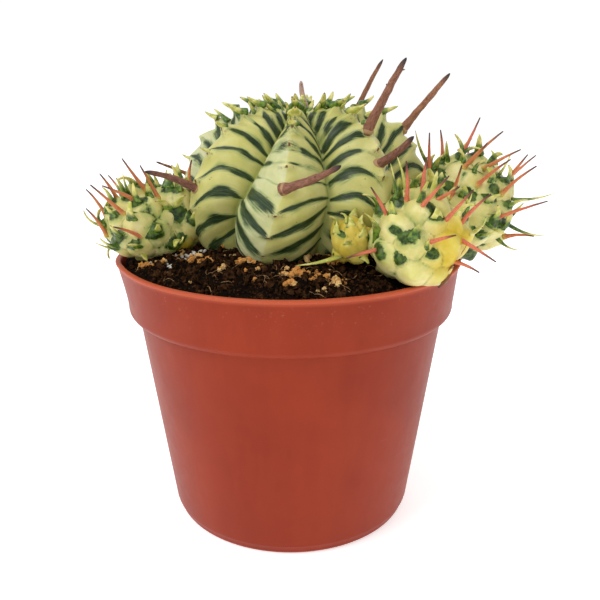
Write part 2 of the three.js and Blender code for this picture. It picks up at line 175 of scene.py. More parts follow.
class Nodes:
    """Short calls for building a node tree."""

    def __init__(self, name):
        self.material = bpy.data.materials.new(name)
        self.material.use_nodes = True
        self.tree = self.material.node_tree
        self.shader = self.tree.nodes["Principled BSDF"]

    def put(self, target, value):
        """Sets a socket to a number, a colour or what another node gives."""
        if hasattr(value, "is_output"):
            self.tree.links.new(value, target)
        elif isinstance(value, tuple) and len(value) == 3 and target.type == "RGBA":
            target.default_value = (*value, 1)
        else:
            target.default_value = value

    def add(self, kind, *values, inputs=(), **settings):
        """A new node: values for its first sockets in order, inputs for sockets by name or number."""
        node = self.tree.nodes.new(kind)
        for key, value in settings.items():
            setattr(node, key, value)
        for key, value in (*enumerate(values), *dict(inputs).items()):
            self.put(node.inputs[key], value)
        return node

    def attribute(self, name, part="Fac"):
        return self.add("ShaderNodeAttribute", attribute_name=name).outputs[part]

    def attributes(self, *names):
        return [self.attribute(name) for name in names]

    def position(self):
        """Where a point is, in the object's own metres."""
        return self.add("ShaderNodeTexCoord").outputs["Object"]

    def math(self, kind, a, b):
        return self.add("ShaderNodeMath", a, b, operation=kind).outputs[0]

    def times(self, a, b):
        return self.math("MULTIPLY", a, b)

    def plus(self, a, b):
        return self.math("ADD", a, b)

    def minus(self, a, b):
        return self.math("SUBTRACT", a, b)

    def scale(self, vector, factors):
        return self.add("ShaderNodeVectorMath", vector, factors, operation="MULTIPLY").outputs[0]

    def noise(self, vector, scale, detail=3.0, rough=0.55, distortion=0.0):
        inputs = {"Vector": vector, "Scale": scale, "Detail": detail, "Roughness": rough}
        inputs["Distortion"] = distortion
        return self.add("ShaderNodeTexNoise", inputs=inputs).outputs["Fac"]

    def cells(self, vector, scale):
        inputs = {"Vector": vector, "Scale": scale}
        return self.add("ShaderNodeTexVoronoi", inputs=inputs, feature="F1").outputs["Distance"]

    def ramp(self, value, low, high):
        """0 at low, 1 at high, smoothly between."""
        inputs = {"Value": value, "From Min": low, "From Max": high}
        node = self.add("ShaderNodeMapRange", inputs=inputs, interpolation_type="SMOOTHSTEP")
        return node.outputs["Result"]

    def mix(self, share, a, b):
        """Colour a, turning to colour b as share goes from 0 to 1."""
        inputs = {0: share, 6: a, 7: b}
        return self.add("ShaderNodeMix", inputs=inputs, data_type="RGBA", blend_type="MIX").outputs[2]

    def blend(self, value, low, high, first, second):
        """Colour first where value is low, colour second where it is high."""
        return self.mix(self.ramp(value, low, high), linear(*first), linear(*second))

    def tint(self, color, share, strength, shade):
        """A colour turned towards shade by share times strength."""
        return self.mix(self.times(share, strength), color, linear(*shade))

    def cover(self, color, value, low, high, shade):
        """A colour covered with shade where value is high."""
        return self.mix(self.ramp(value, low, high), color, linear(*shade))

    def bump(self, height, strength, distance):
        inputs = {"Strength": strength, "Distance": distance, "Height": height}
        self.put(self.shader.inputs["Normal"], self.add("ShaderNodeBump", inputs=inputs).outputs[0])

    def surface(self, color, roughness, **sockets):
        self.put(self.shader.inputs["Base Color"], color)
        self.put(self.shader.inputs["Roughness"], roughness)
        for key, value in sockets.items():
            self.shader.inputs[key.replace("_", " ")].default_value = value
        return self.material


def linear(r, g, b):
    """A colour given in 0-255 display values."""
    out = []
    for v in (r, g, b):
        v = v / 255
        out.append(v / 12.92 if v <= 0.04045 else ((v + 0.055) / 1.055) ** 2.4)
    return tuple(out)


def stem_material():
    """Cream flesh with brushed dark-green stripes, paler and bluer where the tissue lacks green, and
    with painted shade in the grooves.
    """
    n = Nodes("stem_skin")
    skin = n.attribute("skin", "Vector")
    stripe, pale, crest, young, groove = n.attributes("stripe", "pale", "crest", "young", "groove")
    fine = n.noise(n.scale(skin, (0.2, 3.4, 1)), 1.0, 5, 0.8)
    broad = n.noise(n.scale(skin, (0.3, 0.7, 1)), 0.8, 3, 0.6, 0.4)
    ragged = n.plus(n.times(fine, 2.3), n.times(broad, 1.5))
    field = n.plus(stripe, n.minus(ragged, 1.74))
    mask = n.ramp(field, -0.12, 0.46)
    wash = n.ramp(field, -0.75, 0.15)
    place = n.position()
    mottle = n.noise(place, 160, 3, 0.6)
    cream = n.blend(mottle, 0.3, 0.7, (180, 176, 94), (198, 192, 118))
    warm = n.ramp(n.noise(place, 55, 2, 0.5), 0.5, 0.72)
    cream = n.tint(cream, warm, 0.8, (176, 172, 78))
    white = n.blend(mottle, 0.3, 0.7, (186, 192, 142), (204, 206, 168))
    base = n.mix(pale, cream, white)
    base = n.tint(base, young, 0.5, (196, 198, 104))
    base = n.tint(base, wash, 0.6, (112, 138, 80))
    base = n.tint(base, crest, 0.6, (224, 218, 150))
    # Painted shade: the grooves between the ribs are painted a darker green, where shade falls.
    base = n.tint(base, groove, 0.5, (120, 142, 66))
    streak = n.ramp(n.noise(n.scale(skin, (0.18, 4.2, 1)), 1.2, 5, 0.8), 0.44, 0.7)
    green = n.mix(streak, linear(12, 32, 5), linear(80, 100, 38))
    blue = n.mix(streak, linear(20, 42, 22), linear(98, 120, 84))
    dark = n.mix(n.math("MAXIMUM", pale, n.times(broad, 0.35)), green, blue)
    color = n.mix(mask, base, dark)
    speck = n.times(n.ramp(n.cells(place, 620), 0.16, 0.06), n.ramp(n.noise(place, 300, 2), 0.52, 0.62))
    color = n.tint(color, speck, 0.75, (52, 60, 38))
    sooty = n.times(n.attribute("sooty"), n.ramp(n.noise(place, 700, 4, 0.75), 0.52, 0.62))
    color = n.tint(color, sooty, 0.9, (40, 58, 40))
    scar = n.attribute("scar")
    scarred = n.ramp(n.plus(scar, n.times(n.noise(place, 900, 3), 0.6)), 0.62, 0.95)
    color = n.tint(color, scarred, 1, (112, 66, 48))
    rough = n.plus(0.38, n.times(mottle, 0.16))
    grain = n.plus(n.noise(place, 1500, 3, 0.6), n.times(scarred, 1.5))
    n.bump(grain, 0.35, 0.00015)
    return n.surface(
        color, rough, Subsurface_Weight=0.08, Subsurface_Scale=0.003, Specular_IOR_Level=0.3
    )


def offset_material():
    """Flesh of the offsets: cream to yellow, with dark green patches by the tubercles' points, and
    painted shade along the creases between the tubercles.
    """
    n = Nodes("offset_skin")
    patch, yellow, edge, point = n.attributes("patch", "yellow", "edge", "point")
    place = n.position()
    warp = n.times(n.noise(place, 260, 4, 0.6, 0.8), 0.9)
    warp = n.plus(warp, n.times(n.noise(place, 900, 3, 0.7), 0.35))
    field = n.plus(patch, n.minus(warp, 0.62))
    parts = n.ramp(n.noise(n.scale(place, (1, 1, 0.7)), 150, 2, 0.5), 0.47, 0.6)
    beside = n.times(n.attribute("beside"), n.plus(0.25, parts))
    band = n.plus(beside, n.times(n.minus(n.noise(place, 520, 4, 0.7), 0.5), 0.9))
    band = n.minus(n.minus(band, 0.56), n.times(yellow, 0.6))
    field = n.math("MAXIMUM", field, band)
    mask = n.ramp(field, 0.05, 0.30)
    wash = n.ramp(field, -0.45, 0.2)
    mottle = n.noise(place, 190, 3, 0.6)
    cream = n.blend(mottle, 0.3, 0.7, (202, 193, 114), (222, 213, 150))
    bright = n.blend(mottle, 0.3, 0.7, (196, 168, 24), (214, 192, 72))
    base = n.mix(yellow, cream, bright)
    base = n.tint(base, wash, 0.6, (124, 152, 68))
    base = n.tint(base, point, 0.45, (214, 212, 118))
    # Painted shade: a darker olive line painted along the creases between tubercles, where shade falls.
    crease_shade = n.times(n.ramp(edge, 1.0, 0.0), n.ramp(n.noise(place, 120, 2), 0.35, 0.75))
    base = n.tint(base, crease_shade, 0.8, (104, 116, 34))
    streak = n.ramp(n.noise(place, 700, 3, 0.6), 0.35, 0.7)
    green = n.mix(streak, linear(18, 46, 4), linear(84, 110, 30))
    color = n.mix(mask, base, green)
    flecks = n.ramp(n.noise(n.scale(place, (1, 1, 0.35)), 850, 3, 0.7), 0.66, 0.74)
    color = n.tint(color, flecks, 0.6, (64, 96, 50))
    rough = n.plus(0.34, n.times(mottle, 0.16))
    n.bump(n.noise(place, 1400, 3, 0.6), 0.3, 0.00015)
    return n.surface(
        color, rough, Subsurface_Weight=0.1, Subsurface_Scale=0.003, Specular_IOR_Level=0.32
    )


def leaf_material():
    """Green leaves, cream to lime towards their tips, with a dry point."""
    n = Nodes("leaf")
    along, tone = n.attributes("along", "tone")
    place = n.position()
    ragged = n.plus(along, n.times(n.minus(n.noise(place, 600, 3), 0.5), 0.5))
    green = n.blend(n.noise(place, 900, 3), 0.35, 0.7, (34, 72, 10), (118, 146, 40))
    lime = n.blend(n.noise(place, 500, 2), 0.4, 0.6, (178, 182, 78), (216, 208, 126))
    color = n.mix(n.ramp(n.plus(ragged, n.times(tone, 0.75)), 0.5, 0.85), green, lime)
    color = n.cover(color, along, 0.93, 1.0, (120, 84, 44))
    n.bump(n.noise(place, 1200, 3), 0.3, 0.0002)
    return n.surface(color, 0.42, Subsurface_Weight=0.1, Subsurface_Scale=0.002)


def spine_material():
    """Young spines: orange to salmon, with a yellow foot and a dark dry tip."""
    n = Nodes("spine")
    along, tone = n.attributes("along", "tone")
    lines = n.attribute("lines", "Vector")
    grain = n.noise(n.scale(lines, (9, 1.4, 1)), 1.0, 4, 0.65)
    body = n.mix(tone, linear(196, 112, 50), linear(204, 82, 64))
    body = n.tint(body, n.ramp(grain, 0.3, 0.75), 0.7, (222, 156, 112))
    color = n.cover(body, along, 0.16, 0.0, (212, 190, 92))
    tipped = n.plus(along, n.times(n.minus(grain, 0.5), 0.25))
    color = n.cover(color, tipped, 0.58, 0.96, (84, 48, 38))
    n.bump(grain, 0.6, 0.0002)
    return n.surface(color, 0.6)


def stalk_material():
    """Old flower stalks: brown, fibrous, darker towards the broken tip."""
    n = Nodes("old_stalk")
    along, tone = n.attributes("along", "tone")
    lines = n.attribute("lines", "Vector")
    grain = n.noise(n.scale(lines, (7, 0.6, 1)), 1.0, 5, 0.7)
    blotch = n.noise(n.scale(lines, (2, 0.35, 1)), 1.0, 3, 0.6)
    brown = n.blend(grain, 0.3, 0.72, (84, 48, 40), (142, 92, 74))
    tan = n.blend(grain, 0.3, 0.72, (128, 78, 50), (178, 124, 84))
    color = n.mix(tone, brown, tan)
    color = n.tint(color, n.ramp(blotch, 0.5, 0.7), 0.5, (156, 110, 88))
    color = n.cover(color, along, 0.8, 1.0, (46, 32, 32))
    color = n.tint(color, n.ramp(along, -0.2, -0.4), 0.8, (176, 140, 98))
    color = n.tint(color, n.ramp(tone, 1.2, 2.0), 0.75, (206, 172, 160))
    n.bump(n.plus(grain, blotch), 0.8, 0.0003)
    return n.surface(color, 0.72)


def pot_material():
    """Moulded polypropylene: satin, with faint flow marks, scuffs, dust near the rim and a painted
    highlight along the rim's top.
    """
    n = Nodes("pot_plastic")
    place = n.position()
    height = n.attribute("height")
    cloud = n.noise(place, 28, 4, 0.6)
    flow = n.noise(n.scale(place, (1, 1, 0.12)), 160, 3, 0.6)
    color = n.blend(cloud, 0.3, 0.7, (134, 42, 17), (146, 49, 21))
    color = n.tint(color, n.ramp(flow, 0.45, 0.7), 0.25, (126, 36, 14))
    # Painted highlight: the rim's top is painted a lighter orange, standing in for the light it catches
    # from above.
    lip_highlight = n.ramp(height, 0.972, 0.99)
    color = n.tint(color, lip_highlight, 0.7, (196, 92, 60))
    dust = n.ramp(n.noise(place, 900, 4, 0.7), 0.6, 0.72)
    near = n.ramp(height, 0.82, 1.0)
    color = n.tint(color, n.times(dust, near), 0.3, (196, 140, 112))
    scratch = n.ramp(n.noise(n.scale(place, (1, 1, 9)), 120, 5, 0.75), 0.68, 0.72)
    color = n.tint(color, scratch, 0.14, (206, 140, 116))
    rough = n.plus(0.36, n.times(n.noise(place, 240, 3, 0.6), 0.16))
    n.bump(n.plus(n.noise(place, 2600, 2, 0.5), n.times(scratch, 0.5)), 0.12, 0.0001)
    return n.surface(color, rough, Specular_IOR_Level=0.17)


def soil_material(name, dark, light, share):
    """Crumbly matter without gloss, mottled from dark to light."""
    n = Nodes(name)
    place = n.position()
    tone = n.attribute("tone")
    grain = n.noise(place, 1300, 5, 0.7)
    color = n.blend(grain, 0.35, 0.75, dark, light)
    color = n.tint(color, n.math("POWER", tone, 4.0), share, light)
    n.bump(grain, 1.0, 0.0006)
    return n.surface(color, 1.0, Specular_IOR_Level=0.05)


def grain_material(name, first, second, third):
    """Pitted mineral grains, each between two colours, with a third in its hollows."""
    n = Nodes(name)
    place = n.position()
    tone = n.attribute("tone")
    grain = n.noise(place, 1600, 4, 0.7)
    color = n.blend(tone, 0.3, 0.8, first, second)
    color = n.cover(color, grain, 0.5, 0.75, third)
    pits = n.cells(place, 2400)
    n.bump(n.plus(grain, pits), 0.8, 0.0003)
    return n.surface(color, 0.88)


MAT = {
    "stem": stem_material(),
    "offset": offset_material(),
    "leaf": leaf_material(),
    "spine": spine_material(),
    "stalk": stalk_material(),
    "pot": pot_material(),
    "soil": soil_material("peat", (5, 3, 2), (34, 21, 12), 0.35),
    "crumb": soil_material("peat_crumbs", (4, 2, 1), (84, 54, 31), 0.75),
    "fibre": soil_material("root_fibre", (120, 84, 52), (190, 152, 108), 0.6),
    "clay": grain_material("clay_grain", (206, 142, 66), (220, 182, 118), (154, 98, 44)),
    "pumice": grain_material("pumice", (206, 196, 182), (232, 226, 214), (160, 150, 138)),
}


# ---------------------------------------------------------------- pot

pot_low, pot_high = box_mm("pot")
POT_HEIGHT = pot_high[2]
RIM = (pot_high[0] - pot_low[0]) / 2
BASE = 38.4
BASE_TOP = 1.6
COLLAR = POT_HEIGHT - 17
SHOULDER_OUT = RIM - 2.5
WALL_TOP = SHOULDER_OUT - 2.4
WALL = 1.2
DRAIN_HOLES = 8
DRAIN_RADIUS = 2.2
# The soft rim gives a little where the left-hand offset lies on it: azimuth and half width.
DENT_AZIMUTH = 272
DENT_WIDTH = 17


def arc(cx, cz, radius, start, end, count):
    a = np.radians(np.linspace(start, end, count))
    return [(cx + radius * math.cos(t), cz + radius * math.sin(t)) for t in a]


def pot_profile():
    """Half outline of the pot, from the middle of its underside round the rim to its inside."""
    top = POT_HEIGHT
    line = [(0, 0.6), (BASE - 6, 0.6), (BASE - 5, 0.0), (BASE - 1.2, 0.0)]
    line += arc(BASE - 1.2, 1.2, 1.2, -80, 0, 5)
    line += [(BASE + 0.4, 2.5), (BASE + 0.75, 2.75), (BASE + 0.9, 3.3)]
    foot, reach = BASE + 0.9, WALL_TOP - BASE - 0.9
    line += [(foot + reach * s, 3.3 + (COLLAR - 3.9) * s) for s in np.linspace(0.04, 1, 26)]
    line += arc(WALL_TOP + 0.35, COLLAR - 0.35, 0.35, 180, 90, 4)
    line += arc(SHOULDER_OUT - 2.0, COLLAR + 2.6, 2.6, -90, -8, 9)
    collar, reach = SHOULDER_OUT + 0.5, RIM - 1.05 - SHOULDER_OUT
    line += [(collar + reach * s, COLLAR + 2.6 + 13.1 * s) for s in np.linspace(0.1, 1, 9)]
    line += arc(RIM - 0.5, top - 0.72, 0.5, -70, 90, 9)
    line += [(RIM - 1.2, top - 0.22), (RIM - 1.5, top - 0.3)]
    line += [(RIM - 1.75, top - 1.0), (SHOULDER_OUT - WALL, COLLAR + WALL)]
    line += [(WALL_TOP - WALL, COLLAR + WALL), (BASE - WALL + 0.3, BASE_TOP), (0, BASE_TOP)]
    return np.array(line)


def make_pot():
    line = pot_profile()
    count = 256
    azimuth = around(count)
    rings = line[1:-1]
    out = heading(azimuth, 0)
    radius = rings[:, None, 0] * np.ones(count)[None, :]
    height = rings[:, None, 1] * np.ones(count)[None, :]
    # The rim is dented, and never quite round.
    push = np.exp(-(((azimuth - DENT_AZIMUTH) / DENT_WIDTH) ** 2))
    high = smooth(rings[:, 1], COLLAR + 4, POT_HEIGHT)[:, None] * (rings[:, 0] > 40)[:, None]
    radius += high * (1.5 * push + 0.12 * np.sin(np.radians(3 * azimuth + 40)))[None, :]
    height += high * (-0.5 * push + 0.10 * np.sin(np.radians(2 * azimuth)))[None, :]
    points = out[None, :, :] * radius[..., None]
    points[..., 2] = height
    points = np.vstack([points.reshape(-1, 3), [[0, 0, line[0][1]], [0, 0, line[-1][1]]]])
    level = points[:, 2] / POT_HEIGHT
    pot = mesh_from("nursery_pot", points, closed_faces(len(rings), count), {"height": level})
    drill_base(pot)
    pot.data.polygons.foreach_set("use_smooth", [True] * len(pot.data.polygons))
    edges = pot.modifiers.new("crisp_edges", "WEIGHTED_NORMAL")
    edges.keep_sharp = True
    finish_piece(pot, MAT["pot"], ["pot"])


def drill_base(pot):
    """Cuts a ring of drain holes through the base."""
    sides = 24
    holes = []
    for i in range(DRAIN_HOLES):
        at = heading(360 / DRAIN_HOLES * (i + 0.5), 0) * (BASE - 7)
        ring = heading(around(sides), 0) * DRAIN_RADIUS + at
        low_ring, high_ring = ring.copy(), ring.copy()
        low_ring[:, 2], high_ring[:, 2] = -2, 4
        faces = [(k, (k + 1) % sides, sides + (k + 1) % sides, sides + k) for k in range(sides)]
        faces += [tuple(range(sides - 1, -1, -1)), tuple(range(sides, 2 * sides))]
        holes.append((np.vstack([low_ring, high_ring]), faces, {}))
    cutter = mesh_from("drain_cutter", *joined(holes), shade=False)
    cut = pot.modifiers.new("drain_holes", "BOOLEAN")
    cut.operation = "DIFFERENCE"
    cut.object = cutter
    cut.solver = "EXACT"
    bpy.context.view_layer.update()
    done = bpy.data.meshes.new_from_object(pot.evaluated_get(bpy.context.evaluated_depsgraph_get()))
    pot.modifiers.clear()
    pot.data = done
    bpy.data.objects.remove(cutter)


make_pot()


# ---------------------------------------------------------------- main stem

SOIL_EDGE = POT_HEIGHT - 1.6
SOIL_MOUND = 5.0
SOIL_LEVEL = SOIL_EDGE + SOIL_MOUND
STEM_RADIUS = 36.5
STEM_HEIGHT = 40.0
GROOVE_DEPTH = 10.0
STEM_PLACE = (2, 4)
STEM_LEAN = (3, 5)
# Each rib's reach, as a share of the stem's radius, and how pale its flesh is.
RIB_REACH = np.array([1, 1, 1.06, 1.06, 1.05, 1.05, 1.07, 1])
RIB_PALENESS = np.array([0.0, 0.05, 0.1, 0.3, 0.2, 0.6, 1.0, 0.05])
# Outline of a rib's crest from its foot to the growing point: shares of the radius and the height.
CREST_OUT = [0.52, 0.72, 0.85, 0.95, 1, 0.95, 0.86, 0.75, 0.57, 0.38, 0.2, 0]
CREST_UP = [-0.28, -0.12, 0, 0.17, 0.38, 0.57, 0.72, 0.84, 0.93, 0.98, 1, 0.975]
CREST = np.stack([CREST_OUT, CREST_UP], -1) * [STEM_RADIUS, STEM_HEIGHT]
CREST_STEPS = 2001


def crest_table():
    """The crest's points and tangents at even steps of its length."""
    last = len(CREST) - 1
    dense = []
    for i in range(last):
        p0, p1 = CREST[max(i - 1, 0)], CREST[i]
        p2, p3 = CREST[i + 1], CREST[min(i + 2, last)]
        t = np.linspace(0, 1, 40, endpoint=i == last - 1)[:, None]
        v0, v1 = (p2 - p0) / 2, (p3 - p1) / 2
        dense.append(
            (2 * p1 - 2 * p2 + v0 + v1) * t**3 + (-3 * p1 + 3 * p2 - 2 * v0 - v1) * t**2 + v0 * t + p1
        )
    dense = np.vstack(dense)
    steps = np.r_[0, np.cumsum(np.linalg.norm(np.diff(dense, axis=0), axis=1))]
    even = np.linspace(0, steps[-1], CREST_STEPS)
    spots = np.stack([np.interp(even, steps, dense[:, k]) for k in (0, 1)], -1)
    return spots, unit(np.gradient(spots, axis=0)), steps[-1]


CREST_SPOTS, CREST_TANGENTS, CREST_LENGTH = crest_table()
RIBS = 8
TUBERCLE_PITCH = 6.4

# Azimuth of each rib's crest, and of the groove after it, at these shares of the crest's length:
# one row for each rib.
HEIGHTS = [0.2, 0.3, 0.45, 0.75, 1.0]
CREST_AZIMUTHS = np.array(
    [
        [-19, -14, -8, -9, -9], [36, 37, 38, 39, 40], [81, 84, 86, 86, 86],
        [124, 128, 131, 131, 131], [169, 173, 176, 176, 176], [211, 215, 218, 218, 218],
        [247, 251, 256, 259, 260], [293, 297, 302, 303, 303],
    ]
)
GROOVE_AZIMUTHS = np.array(
    [
        [16, 15.5, 15.5, 10, 5], [59, 61, 62, 62, 62], [103, 106, 108, 108, 108],
        [147, 151, 153, 153, 153], [190, 194, 197, 197, 197], [232, 236, 239, 239, 239],
        [266, 271, 276, 280, 281], [309, 314.5, 324, 335, 338],
    ]
)


def along_crest(table, t):
    grid = np.linspace(0, 1, CREST_STEPS)
    return np.stack([np.interp(t, grid, column) for column in table.T], -1)


def turned(table, rib, t):
    """Azimuth for each rib number at each share of the crest's length."""
    out = np.zeros(np.shape(t))
    for k in range(RIBS):
        out = np.where(rib == k, np.interp(t, HEIGHTS, table[k]), out)
    return out


# How widely each rib spaces its tubercles, and where on its crest one of them stands.
RIB_SPACING = np.array([1, 1.24, 1.2, 1.15, 1.2, 1.15, 1.2, 1.28])
RIB_BEARING = np.array([0.455, 0.665, 0.645, 0.74, 0.84, 0.6, 0.5, 0.462])


def tubercle_count(rib, t):
    """Tubercles counted along a rib from the one at its bearing; they crowd near the crown."""

    def crowded(share):
        return share + 0.55 * np.maximum(0, share - 0.5) ** 2

    pitch = TUBERCLE_PITCH * RIB_SPACING[rib]
    return CREST_LENGTH / pitch * (crowded(t) - crowded(RIB_BEARING[rib]))


# How far a stripe climbs from the crest to the groove, in tubercles, at shares of the length.
SLOPE_AT = [0.15, 0.30, 0.42, 0.52, 0.62, 0.72, 0.85]
SLOPES = {
    "plain": [0.9, 0.6, 0.2, -0.2, -0.7, -1.1, -1.5],
    "left_rib": [0.3, 0.35, 0.6, 0.55, 0.25, -0.4, -1.2],
    "right_rib": [1.0, 0.8, 0.7, 0.4, 0.0, -0.6, -1.3],
    "front_left": [1.2, 1.35, 1.4, 1.1, 0.3, -0.3, -1.0],
    "front_right": [0.5, 0.6, 0.9, 0.6, -0.4, -0.9, -1.4],
}


def stripe_line(rib, across, t):
    """Counts tubercles along the skin so that a stripe runs along each whole number."""
    share = np.abs(across)
    count = tubercle_count(rib, t)
    slope = np.interp(t, SLOPE_AT, SLOPES["plain"])
    for which, ahead, name in (
        (0, -1, "front_left"), (0, 1, "front_right"), (7, 1, "left_rib"), (1, -1, "right_rib"),
    ):
        chosen = (rib == which) & (across * ahead > 0)
        slope = np.where(chosen, np.interp(t, SLOPE_AT, SLOPES[name]), slope)
    bend = np.interp(t, [0.1, 0.3, 0.5, 0.9], [0.1, 0.3, 0.5, 0.1])
    bend = bend * np.where(rib == 0, 0.15, np.where((rib == 1) & (across < 0), 1.3, 1))
    drop = np.where((rib == 1) & (across < 0), 0.4, 0)
    return count + drop - slope * share - bend * np.sin(np.pi * share)


def tooth(count):
    """Profile of a crest's tubercle: steep below its point, and long and level above it."""
    phase = count - np.floor(count)
    above = np.clip(1 - phase / 0.74, 0, 1) ** 1.35
    below = np.clip((phase - 0.70) / 0.30, 0, 1) ** 1.9
    return np.maximum(above, below)


def stem_point(rib, across, t, detail=True):
    """Points of the stem, in mm: across is 0 on a rib's crest and -1 or 1 in a groove."""
    rib, across, t = np.broadcast_arrays(rib, across, t)
    beside = (rib + np.where(across < 0, RIBS - 1, 1)) % RIBS
    here = turned(CREST_AZIMUTHS, rib, t)
    before = turned(GROOVE_AZIMUTHS, (rib + RIBS - 1) % RIBS, t)
    groove = np.where(across < 0, before, turned(GROOVE_AZIMUTHS, rib, t))
    gap = (groove - here + 180) % 360 - 180
    share = np.abs(across)
    spot = along_crest(CREST_SPOTS, t)
    tangent = along_crest(CREST_TANGENTS, t)
    depth = np.minimum(1, 0.45 + 2.4 * t) * np.minimum(1, 2.6 * (1 - t))
    sunk = GROOVE_DEPTH * depth * (0.66 * share + 0.34 * share**3)
    lift = 0
    if detail:
        count = tubercle_count(rib, t)
        grown = smooth(t, 0.16, 0.3) * (1 - smooth(t, 0.95, 1.0))
        reach = np.interp(t, [0.2, 0.4, 0.55, 0.66, 0.8, 0.92], [0.5, 1.0, 1.7, 3.2, 3.0, 1.2])
        width = np.interp(t, [0.4, 0.6, 0.8], [0.14, 0.2, 0.3])
        lift = reach * (tooth(count) - 0.12) * np.exp(-((share / width) ** 1.5)) * grown
        ripple = np.cos(2 * np.pi * stripe_line(rib, across, t)) * np.sin(np.pi * np.clip(share, 0, 1))
        lift = lift - 0.30 * ripple * grown
        # The faces are gently full.
        lift = lift + 0.9 * np.sin(np.pi * np.clip(share, 0, 1) ** 0.8) * depth
        # The growing point lies in a hollow.
        lift = lift - 2.2 * smooth(t, 0.84, 0.97)
    reach = RIB_REACH[rib] + (RIB_REACH[beside] - RIB_REACH[rib]) * share / 2
    inward = sunk - lift
    radius = np.maximum(0, spot[..., 0] * reach - tangent[..., 1] * inward)
    height = spot[..., 1] + tangent[..., 0] * inward * np.where(tangent[..., 1] < 0.2, 0.8, 1)
    lean = spot[..., 1] / STEM_HEIGHT
    at = heading(here + share * gap, 0) * radius[..., None]
    at[..., 0] += STEM_PLACE[0] + STEM_LEAN[0] * lean - 2.5 * smooth(t, 0.7, 1.0)
    at[..., 1] += STEM_PLACE[1] + STEM_LEAN[1] * lean
    at[..., 2] = SOIL_LEVEL + height
    return at


def stem_normal(rib, across, t):
    """Outward direction of the stem without its tubercles."""
    a = stem_point(rib, across + 0.02, t, False) - stem_point(rib, across - 0.02, t, False)
    b = stem_point(rib, across, t + 0.004, False) - stem_point(rib, across, t - 0.004, False)
    return unit(np.cross(a, b))


# Stripes drawn on the front faces, as (rib, side, number): half width in tubercles,
# where the stroke starts and ends from crest to groove, and its strength.
STROKES = {
    (0, 0, 2): (0.20, 0.06, 0.35, 0.8), (0, 0, 1): (0.16, 0.35, 1.1, 0.8),
    (0, 0, 0): (0.05, 0.50, 1.1, 0.4), (0, 0, -1): (0.38, 0.04, 1.1, 0.9),
    (0, 0, -2): (0.25, 0.02, 1.1, 1.0), (0, 0, -3): (0.26, 0.06, 1.1, 1.0),
    (0, 1, 3): (0.24, 0.35, 1.1, 0.9), (0, 1, 2): (0.22, 0.25, 1.1, 0.9),
    (0, 1, 1): (0.13, 0.03, 0.35, 0.8), (0, 1, 0): (0.06, 0.50, 1.1, 0.4),
    (0, 1, -1): (0.17, 0.04, 1.1, 0.95), (0, 1, -2): (0.19, 0.00, 1.1, 1.0),
    (0, 1, -3): (0.18, 0.10, 1.1, 0.9), (1, 0, -4): (0.15, 0.05, 1.1, 1.0),
    (1, 0, -3): (0.17, 0.12, 1.1, 1.0), (1, 0, -2): (0.19, 0.16, 1.1, 1.0),
    (1, 0, -1): (0.16, 0.26, 1.1, 1.0), (7, 1, 2): (0.17, 0.12, 1.1, 1.0),
    (7, 1, 1): (0.10, 0.08, 1.1, 0.75), (7, 1, 0): (0.14, 0.06, 1.1, 1.0),
    (7, 1, -1): (0.13, 0.12, 1.1, 1.0), (7, 1, -2): (0.17, 0.02, 1.1, 1.0),
}


def stripe_field(rib, across, t):
    """How far inside a dark stripe a point lies: 1 on its line, 0 at its edge and -1 well outside."""
    count = tubercle_count(rib, t)
    share = np.abs(across)
    side = (across > 0).astype(int)
    q = stripe_line(rib, across, t)
    index = np.round(q).astype(int)
    key = (rib * 131 + side * 57 + index * 17 + 991) % 211
    dice = np.random.default_rng(11).random((211, 4))[key]
    half = (0.13 + 0.09 * dice[..., 1]) * (1 + 0.4 * smooth(t, 0.55, 0.75))
    start = 0.08 + 0.3 * dice[..., 2] ** 2
    end = 1.25 - 0.45 * dice[..., 3] ** 4
    power = np.where(dice[..., 3] > 0.94, 0.6, 1.0)
    for (a, b, c), (h, st, en, po) in STROKES.items():
        chosen = (rib == a) & (side == b) & (index == c)
        half = np.where(chosen, h, half)
        start = np.where(chosen, st, start)
        end = np.where(chosen, en, end)
        power = np.where(chosen, po, power)
    place = np.stack([across * 9, count * 6, rib * 30.0], -1)
    wander = 0.10 * value_noise(place, 5.0, 3) + 0.07 * value_noise(place, 1.8, 4)
    off = q - index + wander
    half = half * (1 + 0.4 * value_noise(place * [1, 0.6, 1], 2.6, 8))
    power = power - 0.5 * smooth(value_noise(place * [1, 0.3, 1], 3.4, 12), 0.25, 0.75)
    # Above its middle a stroke ends crisply, and below it the colour feathers out.
    off = np.where(off > 0, off * 1.2, -off * 0.8)
    stroke = smooth(share, start - 0.06, start + 0.16) * (1 - smooth(share, end - 0.3, end))
    late = np.interp(t, [0.45, 0.7], [0.0, 0.5])
    thick = 0.3 + 0.7 * np.sin(np.pi * np.clip((share - start) / (1.05 - start), 0, 1)) ** 0.8
    thick = thick + late * smooth(share, 0.4, 0.9)
    field = 1 - off / (half * np.clip(thick, 0.2, 1.6))
    return np.clip(np.minimum(field, 1.4 * stroke - 0.4) * power, -1, 1)


